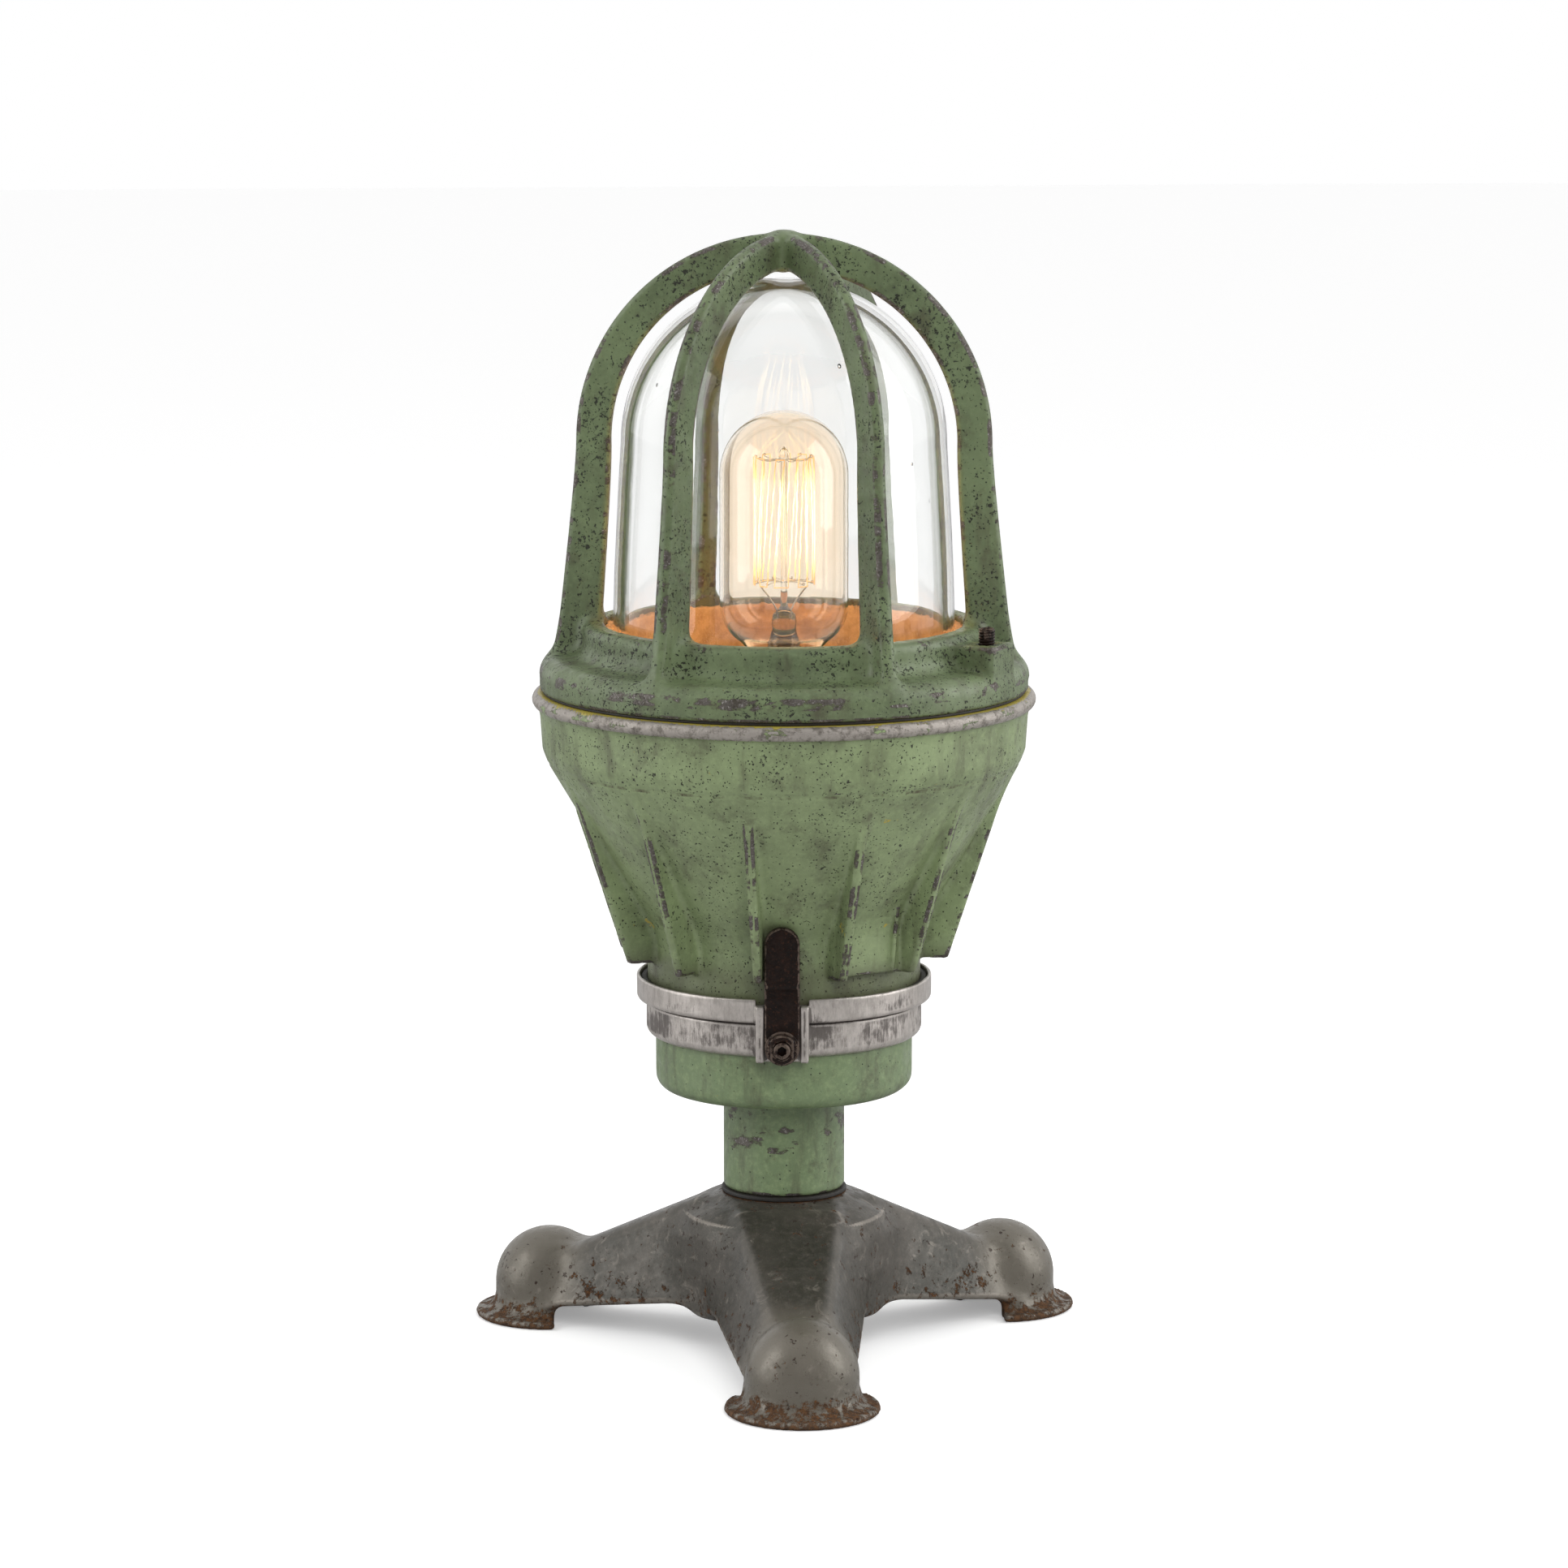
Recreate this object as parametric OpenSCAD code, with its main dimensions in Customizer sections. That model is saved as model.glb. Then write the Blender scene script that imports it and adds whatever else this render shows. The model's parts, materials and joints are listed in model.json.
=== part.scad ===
// Caged explosion-proof lamp on a cast three-leg table base.
// Frame: +Z up, floor at z = 0, origin under the stem, front leg towards -Y.
// Azimuths are degrees from -Y, positive towards +X.

/* [Base] */
// Radius of the circle through the three foot centres
foot_circle_r = 94.6; // [90:0.2:100]
// Radius of the domed feet
dome_r = 19.5; // [18:0.1:21]
// Radius of the flared brim around each foot
brim_r = 26.7; // [25:0.1:28]
// Height of the hub top above the floor
hub_top_z = 56; // [54:0.5:60]

/* [Stem and cup] */
// Outside diameter of the stem tube (1 1/4 inch pipe)
stem_d = 42.6; // [40:0.1:45]
// Visible length of the stem tube
stem_l = 36; // [30:0.5:50]
// Outside diameter of the junction cup (3 inch pipe)
cup_d = 90.4; // [89:0.1:91]
// Visible height of the junction cup
cup_h = 19.5; // [17:0.5:30]

/* [Collar and latch] */
// Diameter of the upper collar flange
collar_d = 103.8; // [103:0.1:105]
// Diameter of the lower collar flange
collar_lower_d = 97; // [96:0.1:98]
// Height of the collar
collar_h = 21.3; // [21:0.1:23]
// Azimuth of the latch
latch_az = -4.5; // [-4.5:0.5:-2]
// Width of the latch strap
strap_w = 12.3; // [11:0.1:13]
// Thickness of the latch strap
strap_t = 3; // [2.6:0.1:3.2]

/* [Bowl] */
// Diameter of the neck of the bowl
neck_d = 96; // [95:0.1:96.5]
// Diameter of the bowl band under the rim
band_d = 172; // [171:0.1:173]
// Number of cooling fins
fin_n = 12; // [6:1:18]
// Thickness of a cooling fin
fin_t = 3; // [2:0.1:4]
// Azimuth of the first fin
fin_az = -13; // [-15:0.5:-12]

/* [Guard] */
// Diameter of the guard flange
flange_d = 170.8; // [170:0.1:171.5]
// Outside diameter of the upright neck of the guard
guard_neck_d = 139.6; // [138:0.1:141]
// Number of guard ribs
rib_n = 6; // [4:1:6]
// Thickness of a guard rib
rib_t = 6; // [4:0.1:8]
// Azimuth of the first guard rib
rib_az = 23; // [20:1:26]
// Azimuth of the lock screw boss
boss_az = 59; // [53:1:60]

/* [Globe and bulb] */
// Outside diameter of the globe at its foot
globe_d = 119.4; // [118:0.1:120]
// Wall of the globe
globe_wall = 4; // [3:0.1:5]
// Diameter of the bulb
bulb_d = 45; // [40:0.5:46]
// Number of filament strands
strand_n = 18; // [10:2:24]

/* [Fits] */
// Radial clearance of a running fit
run_fit = 0.05; // [0.02:0.01:0.1]

/* [Hidden] */

$fn = 96;
eps = 0.01;
through = 200;

paint = [0.44, 0.55, 0.41];
paint_dark = [0.36, 0.46, 0.34];
iron = [0.36, 0.34, 0.32];
aluminium = [0.78, 0.77, 0.76];
rust = [0.24, 0.15, 0.12];
black = [0.06, 0.06, 0.06];
brass = [0.78, 0.62, 0.32];
steel = [0.62, 0.62, 0.62];
porcelain = [0.92, 0.91, 0.87];
clear = [0.85, 0.90, 0.92, 0.35];
amber = [0.95, 0.72, 0.40, 0.4];
glow = [1.0, 0.85, 0.45];
cement_c = [0.90, 0.72, 0.56];

// Levels, from the floor up.
washer_t = 1.5;
stem_z = hub_top_z + washer_t;
cup_z = stem_z + stem_l;
collar_z = cup_z + cup_h;
collar_top = collar_z + collar_h;
bowl_h = 100.7;
rim_z = collar_top + bowl_h;
gasket_t = 1;
flange_z = rim_z + gasket_t;
ring_h = 23;
ring_top = flange_z + ring_h;
cage_h = 135.6;
apex_z = ring_top + cage_h;

// Base casting.
leg_az = [0, 120, 240];
skin = 5;
dome_z = 12.6;
brim_t = 3;
brim_arc = 125;
hub_r = 27;
hub_skirt_r = 37;
hub_skirt_z = 42;
hub_foot_z = 17;
hub_web = 14;
leg_round = 3;
leg_foot_z = 6;
// Corners of a leg section as [distance from the axis, half width, height].
leg_corners = [[32, 18, 53], [84, 7.5, 28], [26, 24, 20], [84, 15.5, 9]];

// Stem, nipple and their nuts.
stem_r = stem_d / 2;
stem_wall = 3.6;
nipple_r = 10;
nipple_bore = 6.5;
nipple_z0 = 25;
locknut_r = 17;
locknut_t = 6;
cord_r = 4;

// Cup and collar.
cup_r = cup_d / 2;
cup_wall = 5;
cup_floor = 6;
cup_edge_r = 5;
cup_tuck = 7;
collar_r = collar_d / 2;
collar_lower_r = collar_lower_d / 2;
flange_t = 8.5;
tier_gap = 0.8;
collar_land = 2;
spigot_r = 46;
spigot_z = collar_z + cup_tuck + collar_land;
recess_r = collar_r - 1.4;
recess_z = collar_top - 6.3;
neck_r = neck_d / 2;
neck_gap = 0.2;

// Latch: a lug with two cheeks on the collar, a stud, a strap and a nut.
cheek_w = 2.8;
channel_w = strap_w + 0.4;
lug_w = channel_w + 2 * cheek_w;
lug_z0 = collar_z - 0.8;
lug_z1 = collar_top - 2.3;
lug_face_r = collar_lower_r + 1.3;
cheek_r = lug_face_r + strap_t - 0.4;
stud_z = collar_z + 4.6;
stud_r = 3;
stud_out = 8.6;
strap_foot_r = lug_face_r;
strap_head_r = lug_face_r + 3.6;
strap_top = collar_top + 26.2;
joggle_z0 = collar_top - 1.2;
joggle_z1 = joggle_z0 + 6.4;
washer_r = 6;
latch_washer_t = 0.8;
latch_nut_t = 3.4;

// Bowl profile.
band_r = band_d / 2;
cone_slope = 0.594;
cone_top_z = rim_z - 25;
cone_top_r = band_r - 3.3;
blend_r = 25;
cone_angle = atan(cone_slope);
cone_foot_r = neck_r + blend_r * (1 - cos(cone_angle));
cone_foot_z = cone_top_z - (cone_top_r - cone_foot_r) / cone_slope;
blend_z = cone_foot_z - blend_r * sin(cone_angle);
bowl_wall = 6;
bead_r = 2.75;
thread_r = 75.5;
floor_z0 = collar_top + 4;
floor_z1 = floor_z0 + 4;
floor_hole = 12;
fin_foot_z = collar_top + 6.7;
earth_az = 130;
earth_r = 32;
pillar_n = 3;
pillar_circle = 61;
pillar_r = 5;
plate_z = rim_z - 25;
pad_az0 = fin_az + 33;
pad_az1 = pad_az0 + 22;
pad_r = neck_r + 3.4;

// Guard.
flange_r = flange_d / 2;
flange_edge = 5;
guard_neck_r = guard_neck_d / 2;
guard_bore = 62.8;
seat_z = flange_z + 4;
seat_r = 55.5;
skirt_l = 14;
skirt_wall = 7;
shoulder_z = flange_z + 11;
shoulder_r = 79.5;
rib_base_r = 80.4;
rib_spring_z = apex_z - 72.6;
rib_arc_r = 72.6;
rib_arc_in = 60.4;
rib_root_in = 65;
boss_w = 18;
boss_z = flange_z + 20;
lock_r = 78.4;
lock_screw_r = 2.95;
lock_out = 5.6;
tip_r = 1.9;
tip_t = 2;
gasket_in = 81;

// Globe and bulb.
globe_r = globe_d / 2;
globe_top = flange_z + 143;
globe_dome_r = globe_r - 3;
bulb_r = bulb_d / 2;
bulb_top = flange_z + 97;
cap_z = rim_z - 13;
cap_r = 13.1;
cap_root_r = 12.4;
cap_pitch = 3.63;
cap_turns = 5;
glass_foot_z = cap_z + 26;
shell_t = 0.8;
holder_r = 19;
holder_flange_r = 27;
plunger_r = 2;
plunger_head_r = 4;
spring_r = 3.4;
filament_r = 11;
filament_z0 = flange_z + 36;
filament_z1 = flange_z + 81;
strand_r = 0.3;
rod_r = 1.2;

// Points along an arc about centre c.
function arc(c, r, a0, a1, n = 8) =
    [for (i = [0:n]) c + r * [cos(a0 + (a1 - a0) * i / n), sin(a0 + (a1 - a0) * i / n)]];

// Radius of the outside of the bowl cone at height z.
function cone_r(z) = cone_top_r - (cone_top_z - z) * cone_slope;

// Puts its children at an azimuth, with +X pointing out from the axis.
module at_az(a) {
    rotate([0, 0, a - 90]) children();
}

module ring(r_out, r_in, z0, z1) {
    rotate_extrude() translate([r_in, z0]) square([r_out - r_in, z1 - z0]);
}

// A plate standing on a radial plane, from an outline given as [r, z].
module fin_plate(outline, t) {
    rotate([90, 0, 0]) translate([0, 0, -t / 2]) linear_extrude(t) polygon(outline);
}

// Round bar from a to b with rounded ends.
module bar(a, b, r) {
    d = b - a;
    length = norm(d);
    translate(a) rotate([0, acos(d[2] / length), atan2(d[1], d[0])]) cylinder(r = r, h = length);
}

// Round bar along a path of points, with a slightly fuller ball at each bend.
module wire(path, r) {
    for (i = [0:len(path) - 2]) bar(path[i], path[i + 1], r);
    for (i = [1:len(path) - 2]) translate(path[i]) sphere(r * 1.12);
}

// Nut with a round bore, standing on z = 0.
module hex_nut(across, h, bore) {
    difference() {
        cylinder(r = across / 2 / cos(30), h = h, $fn = 6);
        translate([0, 0, -eps]) cylinder(r = bore, h = h + 2 * eps);
    }
}

// Screw with a slotted round head; the head sits on z = 0 and the shank points down.
module slot_screw(head_r, head_h, shank_r, shank_l) {
    difference() {
        cylinder(r = head_r, h = head_h);
        translate([-head_r - 1, -0.5, head_h * 0.5]) cube([2 * head_r + 2, 1, head_h]);
    }
    translate([0, 0, -shank_l]) cylinder(r = shank_r, h = shank_l + eps);
}

// ---- Base ----

// Solid body of one leg; shrink moves every corner inwards for the hollow.
module leg_body(shrink) {
    hull() for (c = leg_corners, side = [-1, 1]) {
        drop = shrink > 0 && c[2] < 25 ? 30 : shrink;
        translate([c[0], side * (c[1] - shrink), c[2] - drop]) sphere(leg_round, $fn = 20);
    }
}

module foot_dome(r) {
    translate([foot_circle_r, 0, dome_z]) sphere(r);
    translate([foot_circle_r, 0, 0]) cylinder(r = r, h = dome_z);
}

// Sector on the inner side of a foot, where the brim and the dome's wall are open below the leg.
module foot_gap(h) {
    reach = 2 * brim_r;
    translate([foot_circle_r, 0, -1]) linear_extrude(h + 1) polygon([
        [0, 0],
        reach * [cos(brim_arc), sin(brim_arc)],
        [-reach, 0],
        reach * [cos(brim_arc), -sin(brim_arc)],
    ]);
}

module foot_brim() {
    difference() {
        translate([foot_circle_r, 0, 0]) rotate_extrude() polygon(concat(
            [[dome_r - 1, 0], [brim_r - 0.8, 0], [brim_r, 1], [brim_r - 0.3, brim_t]],
            arc([dome_r + 4.6, 9], 4.9, 295, 190, 6),
            [[dome_r - 1, 9]]
        ));
        foot_gap(20);
    }
}

module hub() {
    rotate_extrude() polygon(concat(
        [[0, hub_foot_z], [hub_skirt_r - 5, hub_foot_z], [hub_skirt_r, hub_skirt_z - 6]],
        [[hub_skirt_r - 1.5, hub_skirt_z + 6.5]],
        arc([hub_r - 4, hub_top_z - 4], 4, 20, 90, 4),
        [[0, hub_top_z]]
    ));
}

module base_casting() {
    color(iron) difference() {
        union() {
            hub();
            for (a = leg_az) at_az(a) {
                leg_body(0);
                foot_dome(dome_r);
                foot_brim();
            }
        }
        translate([0, 0, -1]) cylinder(r = hub_r - skin, h = hub_top_z - hub_web + 1);
        translate([0, 0, -1]) cylinder(r = nipple_r, h = through);
        for (a = leg_az) at_az(a) {
            leg_body(skin);
            translate([0, 0, -1]) foot_dome(dome_r - skin);
            foot_gap(leg_foot_z);
            translate([0, -foot_circle_r, -through]) cube([2 * foot_circle_r, 2 * foot_circle_r, through]);
        }
    }
}

module base_washer() {
    color(steel) ring(locknut_r + 3, nipple_r, hub_top_z - hub_web - 2, hub_top_z - hub_web);
}

module base_locknut() {
    z = hub_top_z - hub_web - 2 - locknut_t;
    color(steel) translate([0, 0, z]) hex_nut(2 * locknut_r - 4, locknut_t, nipple_r);
}

module cord_bush() {
    z = nipple_z0 - 3;
    color(black) {
        ring(nipple_r, cord_r, z, nipple_z0);
        ring(nipple_bore, cord_r, nipple_z0, nipple_z0 + 8);
    }
}

// ---- Stem and cup ----

module stem_seat_washer() {
    color(black) ring(stem_r + 0.8, nipple_r, hub_top_z, stem_z);
}

module stem_tube() {
    edge = 1.6;
    color(paint) difference() {
        rotate_extrude() polygon(concat(
            [[nipple_r, stem_z]],
            arc([stem_r - edge, stem_z + edge], edge, 270, 360, 4),
            [[stem_r, cup_z], [nipple_r, cup_z]]
        ));
        translate([0, 0, stem_z + 5]) cylinder(r = stem_r - stem_wall, h = stem_l - 10);
    }
}

module stem_nipple() {
    color(steel) ring(nipple_r, nipple_bore, nipple_z0, cup_z + cup_floor + locknut_t + 4);
}

module cup_locknut() {
    color(steel) translate([0, 0, cup_z + cup_floor]) hex_nut(2 * locknut_r - 4, locknut_t, nipple_r);
}

module junction_cup() {
    top = collar_z + cup_tuck;
    color(paint) rotate_extrude() polygon(concat(
        [[nipple_r, cup_z]],
        arc([cup_r - cup_edge_r, cup_z + cup_edge_r], cup_edge_r, 270, 360),
        [[cup_r, top], [cup_r - cup_wall, top]],
        [[cup_r - cup_wall, cup_z + cup_floor], [nipple_r, cup_z + cup_floor]]
    ));
}

// ---- Collar and latch ----

module collar_ring() {
    flange_foot = collar_top - flange_t;
    round_r = 1.6;
    rotate_extrude() polygon(concat(
        [[cup_r, collar_z]],
        arc([collar_lower_r - 3.2, collar_z + 3.2], 3.2, 275, 360, 5),
        [[collar_lower_r, flange_foot - tier_gap], [collar_lower_r - 0.6, flange_foot - tier_gap]],
        [[collar_lower_r - 0.6, flange_foot]],
        arc([collar_r - round_r, flange_foot + round_r], round_r, 280, 360, 4),
        [[collar_r, collar_top - 0.5], [collar_r - 0.5, collar_top]],
        [[recess_r, collar_top], [recess_r, recess_z], [spigot_r, recess_z], [spigot_r, spigot_z]],
        [[spigot_r - 6, spigot_z], [spigot_r - 6, spigot_z - collar_land]],
        [[cup_r, spigot_z - collar_land]]
    ));
}

module collar() {
    back_r = spigot_r + 1.2;
    color(aluminium) difference() {
        union() {
            difference() {
                collar_ring();
                at_az(latch_az) translate([recess_r - 3, -lug_w / 2, lug_z1])
                    cube([10, lug_w, 10]);
            }
            at_az(latch_az) translate([back_r, -lug_w / 2, lug_z0])
                cube([cheek_r - back_r, lug_w, lug_z1 - lug_z0]);
        }
        translate([0, 0, recess_z]) cylinder(r = neck_r + neck_gap, h = collar_h);
        at_az(latch_az) translate([lug_face_r, -channel_w / 2, lug_z0 - 1])
            cube([10, channel_w, through]);
        at_az(latch_az) translate([0, 0, stud_z]) rotate([0, 90, 0]) cylinder(r = stud_r, h = 80);
    }
}

module collar_gasket() {
    color(black) difference() {
        ring(recess_r, neck_r, recess_z, collar_top - 1);
        at_az(latch_az) translate([neck_r - 1, -lug_w / 2, recess_z - 1]) cube([10, lug_w, 10]);
    }
}

module latch_stud() {
    length = lug_face_r + stud_out - (cup_r + 0.4);
    color(rust) at_az(latch_az) translate([cup_r + 0.4, 0, stud_z]) rotate([0, 90, 0]) difference() {
        cylinder(r = stud_r, h = length);
        translate([0, 0, length - 3]) cylinder(r = 1.7, h = 4, $fn = 6);
    }
}

// Side outline of the strap as [distance out, height], thickness towards +r.
module latch_strap() {
    end_r = strap_w / 2;
    outline = [
        [strap_foot_r, stud_z - end_r], [strap_foot_r + strap_t, stud_z - end_r],
        [strap_foot_r + strap_t, joggle_z0], [strap_head_r + strap_t, joggle_z1],
        [strap_head_r + strap_t, strap_top], [strap_head_r, strap_top],
        [strap_head_r, joggle_z1 + 0.6], [strap_foot_r, joggle_z0 + 0.6],
    ];
    color(rust) at_az(latch_az) difference() {
        intersection() {
            fin_plate(outline, strap_w);
            translate([0, 0, stud_z]) rotate([0, 90, 0]) {
                cylinder(r = end_r, h = 80);
                translate([end_r + stud_z - strap_top, -end_r, 0])
                    cube([strap_top - stud_z - end_r, strap_w, 80]);
                translate([end_r + stud_z - strap_top, 0, 0]) cylinder(r = end_r, h = 80);
            }
        }
        translate([0, 0, stud_z]) rotate([0, 90, 0]) cylinder(r = stud_r + 2 * run_fit, h = 80);
    }
}

module latch_disc(from_r, t, r, bore) {
    at_az(latch_az) translate([from_r, 0, stud_z]) rotate([0, 90, 0]) difference() {
        cylinder(r = r, h = t);
        translate([0, 0, -eps]) cylinder(r = bore, h = t + 2 * eps);
    }
}

module latch_washer() {
    color(rust) latch_disc(lug_face_r + strap_t, latch_washer_t, washer_r, stud_r + 2 * run_fit);
}

module latch_nut() {
    from_r = lug_face_r + strap_t + latch_washer_t;
    flat_half = 4;
    flat_from = 1.6;
    color(rust) difference() {
        latch_disc(from_r, latch_nut_t, washer_r - 0.6, stud_r + run_fit);
        for (side = [0, 180]) at_az(latch_az) translate([0, 0, stud_z]) rotate([side, 0, 0])
            translate([from_r + flat_from, flat_half, -10]) cube([10, 10, 20]);
    }
}

// ---- Bowl ----

module bowl_shell() {
    inner_top = cone_top_z - 2;
    rotate_extrude() polygon(concat(
        [[spigot_r - 5, spigot_z], [spigot_r, spigot_z], [spigot_r, recess_z], [neck_r, recess_z]],
        arc([neck_r + blend_r, blend_z], blend_r, 180, 180 - cone_angle, 6),
        [[cone_top_r, cone_top_z], [band_r - 1.5, cone_top_z + 5], [band_r, rim_z - 8]],
        arc([band_r - 0.6, rim_z - bead_r - eps], bead_r, 270, 450, 8),
        [[thread_r + 1, rim_z], [thread_r, rim_z - 1], [thread_r, inner_top]],
        [[cone_foot_r - bowl_wall, cone_foot_z], [neck_r - 5, blend_z + 4]],
        [[neck_r - 5, floor_z1], [floor_hole, floor_z1], [floor_hole, floor_z0]],
        [[spigot_r - 5, floor_z0]]
    ));
}

module bowl_fin() {
    outline = [
        [neck_r - 2.5, fin_foot_z], [neck_r + 11, fin_foot_z], [neck_r + 12, fin_foot_z + 5],
        [cone_r(rim_z - 45) + 3, rim_z - 45], [cone_r(rim_z - 32) - 1.5, rim_z - 30],
        [cone_foot_r - 2.5, cone_foot_z], [neck_r - 2.5, blend_z + 2],
    ];
    fin_plate(outline, fin_t);
}

// Raised pad on the neck between two fins.
module bowl_pad() {
    reach = 2 * pad_r;
    intersection() {
        rotate_extrude() polygon([
            [neck_r - 3, fin_foot_z + 1], [pad_r, fin_foot_z + 1], [pad_r, fin_foot_z + 12],
            [cone_r(fin_foot_z + 30) - 3, fin_foot_z + 30], [neck_r - 3, fin_foot_z + 10],
        ]);
        linear_extrude(through + through) polygon(concat([[0, 0]],
            [for (i = [0:4]) let (a = pad_az0 + (pad_az1 - pad_az0) * i / 4) reach * [sin(a), -cos(a)]]
        ));
    }
}

module bowl_housing() {
    color(paint) difference() {
        union() {
            bowl_shell();
            for (i = [0:fin_n - 1]) at_az(fin_az + i * 360 / fin_n) bowl_fin();
            bowl_pad();
            for (i = [0:pillar_n - 1]) at_az(i * 360 / pillar_n) translate([pillar_circle, 0, plate_z - 22])
                cylinder(r = pillar_r, h = 22);
        }
        for (i = [0:pillar_n - 1]) at_az(i * 360 / pillar_n) translate([pillar_circle, 0, plate_z - 12])
            cylinder(r = 2, h = 20);
        at_az(earth_az) translate([earth_r, 0, floor_z0 - 1]) cylinder(r = 2, h = 10);
    }
}

module rim_gasket() {
    color(black) ring(flange_r - 0.8, gasket_in, rim_z, flange_z);
}

// ---- Guard and globe ----

module guard_ring() {
    fillet_r = 6;
    neck_round = 2.5;
    rotate_extrude() polygon(concat(
        [[thread_r - run_fit, flange_z - skirt_l], [thread_r - run_fit, flange_z], [flange_r, flange_z]],
        [[flange_r, flange_z + flange_edge], [flange_r - 1.6, flange_z + flange_edge + 2.6]],
        [[shoulder_r, shoulder_z], [guard_neck_r + fillet_r, shoulder_z + 0.4]],
        arc([guard_neck_r + fillet_r, shoulder_z + fillet_r + 0.4], fillet_r, 270, 180, 5),
        arc([guard_neck_r - neck_round, ring_top - neck_round], neck_round, 0, 90, 5),
        [[guard_bore, ring_top], [guard_bore, seat_z], [seat_r, seat_z], [seat_r, seat_z - 6]],
        [[thread_r - skirt_wall, seat_z - 6], [thread_r - skirt_wall, flange_z - skirt_l]]
    ));
}

// One rib from the shoulder to the apex; the inner edge is set back from the outer one.
module guard_rib() {
    rib_foot = shoulder_z - 3;
    outline = concat(
        [[rib_root_in, rib_foot], [rib_base_r, rib_foot]],
        arc([0, rib_spring_z], rib_arc_r, 0, 90, 14),
        [[0, rib_spring_z + rib_arc_in]],
        arc([0, rib_spring_z], rib_arc_in, 86, 0, 13),
        [[rib_root_in - 1, ring_top - 2]]
    );
    fin_plate(outline, rib_t);
}

module guard() {
    color(paint_dark) difference() {
        union() {
            guard_ring();
            for (i = [0:rib_n - 1]) at_az(rib_az + i * 360 / rib_n) guard_rib();
            at_az(boss_az) translate([guard_neck_r - 3, -boss_w / 2, flange_z + 2])
                cube([flange_r - 1.4 - guard_neck_r + 3, boss_w, boss_z - flange_z - 2]);
        }
        at_az(boss_az) translate([lock_r, 0, flange_z - 1]) cylinder(r = lock_screw_r + run_fit, h = 60);
        translate([0, 0, flange_z - 1]) cylinder(r = seat_r, h = ring_top - flange_z);
        translate([0, 0, seat_z]) cylinder(r = guard_bore, h = ring_top - seat_z);
    }
}

module globe_cement() {
    color(cement_c) ring(guard_bore, globe_r, seat_z, ring_top - 1.2);
}

// Half outline of the globe, foot first.
function globe_outline(inset) = concat(
    [[globe_r - inset, seat_z]],
    arc([0, globe_top - globe_dome_r], globe_dome_r - inset, 0, 90, 16)
);

module globe() {
    color(clear) difference() {
        rotate_extrude() polygon(concat([[0, seat_z]], globe_outline(0)));
        translate([0, 0, -eps]) rotate_extrude() polygon(concat([[0, seat_z]], globe_outline(globe_wall)));
    }
}

module lock_screw() {
    length = boss_z + lock_out - (rim_z + tip_t);
    pitch = 1;
    rings = floor(lock_out / pitch);
    color(rust) at_az(boss_az) translate([lock_r, 0, rim_z + tip_t]) difference() {
        cylinder(r = lock_screw_r, h = length);
        translate([0, 0, length - 3.5]) cylinder(r = 1.7, h = 4, $fn = 6);
        translate([0, 0, -eps]) cylinder(r = 1 + run_fit, h = 2);
        for (i = [1:rings]) translate([0, 0, length - i * pitch]) rotate_extrude()
            polygon([[lock_screw_r - 0.5, 0], [lock_screw_r + eps, -0.4], [lock_screw_r + eps, 0.4]]);
    }
}

module lock_screw_tip() {
    color(brass) at_az(boss_az) translate([lock_r, 0, rim_z]) {
        cylinder(r = tip_r, h = tip_t);
        cylinder(r = 1, h = tip_t + 1.6);
    }
}

// ---- Lampholder ----

module mounting_plate() {
    color(aluminium) difference() {
        translate([0, 0, plate_z]) cylinder(r = 70, h = 1.5);
        translate([0, 0, plate_z - 1]) cylinder(r = 10, h = 4);
        for (i = [0:pillar_n - 1]) at_az(i * 360 / pillar_n) translate([pillar_circle, 0, plate_z - 1])
            cylinder(r = 2, h = 4);
        for (a = [0, 180]) at_az(90 + a)
            translate([holder_flange_r - 4, 0, plate_z - 1]) cylinder(r = 1.75, h = 4);
    }
}

module plate_screws() {
    color(steel) for (i = [0:pillar_n - 1]) at_az(i * 360 / pillar_n)
        translate([pillar_circle, 0, plate_z + 1.5]) slot_screw(4, 2.6, 2, 12);
}

module lampholder_body() {
    foot = plate_z + 1.5;
    color(porcelain) difference() {
        union() {
            translate([0, 0, foot]) cylinder(r = holder_r, h = cap_z + 22 - foot);
            translate([0, 0, foot]) cylinder(r = holder_flange_r, h = 5);
        }
        translate([0, 0, cap_z - 2]) cylinder(r = cap_r + run_fit + shell_t, h = 40);
        translate([0, 0, foot + 4]) cylinder(r = 5.5, h = 30);
        translate([0, 0, foot - 1]) cylinder(r = plunger_r + run_fit, h = 30);
        for (a = [0, 180]) at_az(90 + a)
            translate([holder_flange_r - 4, 0, foot - 1]) cylinder(r = 1.75, h = 10);
    }
}

module holder_screws() {
    color(steel) for (a = [0, 180]) at_az(90 + a)
        translate([holder_flange_r - 4, 0, plate_z + 6.5]) slot_screw(3.2, 2.2, 1.75, 9);
}

module screw_shell() {
    bore = cap_r + run_fit;
    color(brass) ring(bore + shell_t, bore, cap_z - 2, cap_z + 20);
}

module contact_plunger() {
    color(brass) {
        translate([0, 0, cap_z - 1.5]) cylinder(r = plunger_head_r, h = 1.5);
        translate([0, 0, plate_z - 5]) cylinder(r = plunger_r, h = cap_z - plate_z + 4);
        translate([0, 0, plate_z - 6]) cylinder(r = plunger_r + 1, h = 1.2);
    }
}

// Coil spring at rest, squeezed until its coils nearly close.
module plunger_spring() {
    wire_r = 0.45;
    from_z = plate_z + 5.5 + wire_r;
    coils = floor((cap_z - 1.5 - from_z) / (1.9 * wire_r));
    color(steel) for (i = [0:coils - 1]) translate([0, 0, from_z + i * 1.9 * wire_r])
        rotate_extrude() translate([spring_r, 0]) circle(wire_r, $fn = 24);
}

// ---- Bulb ----

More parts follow.
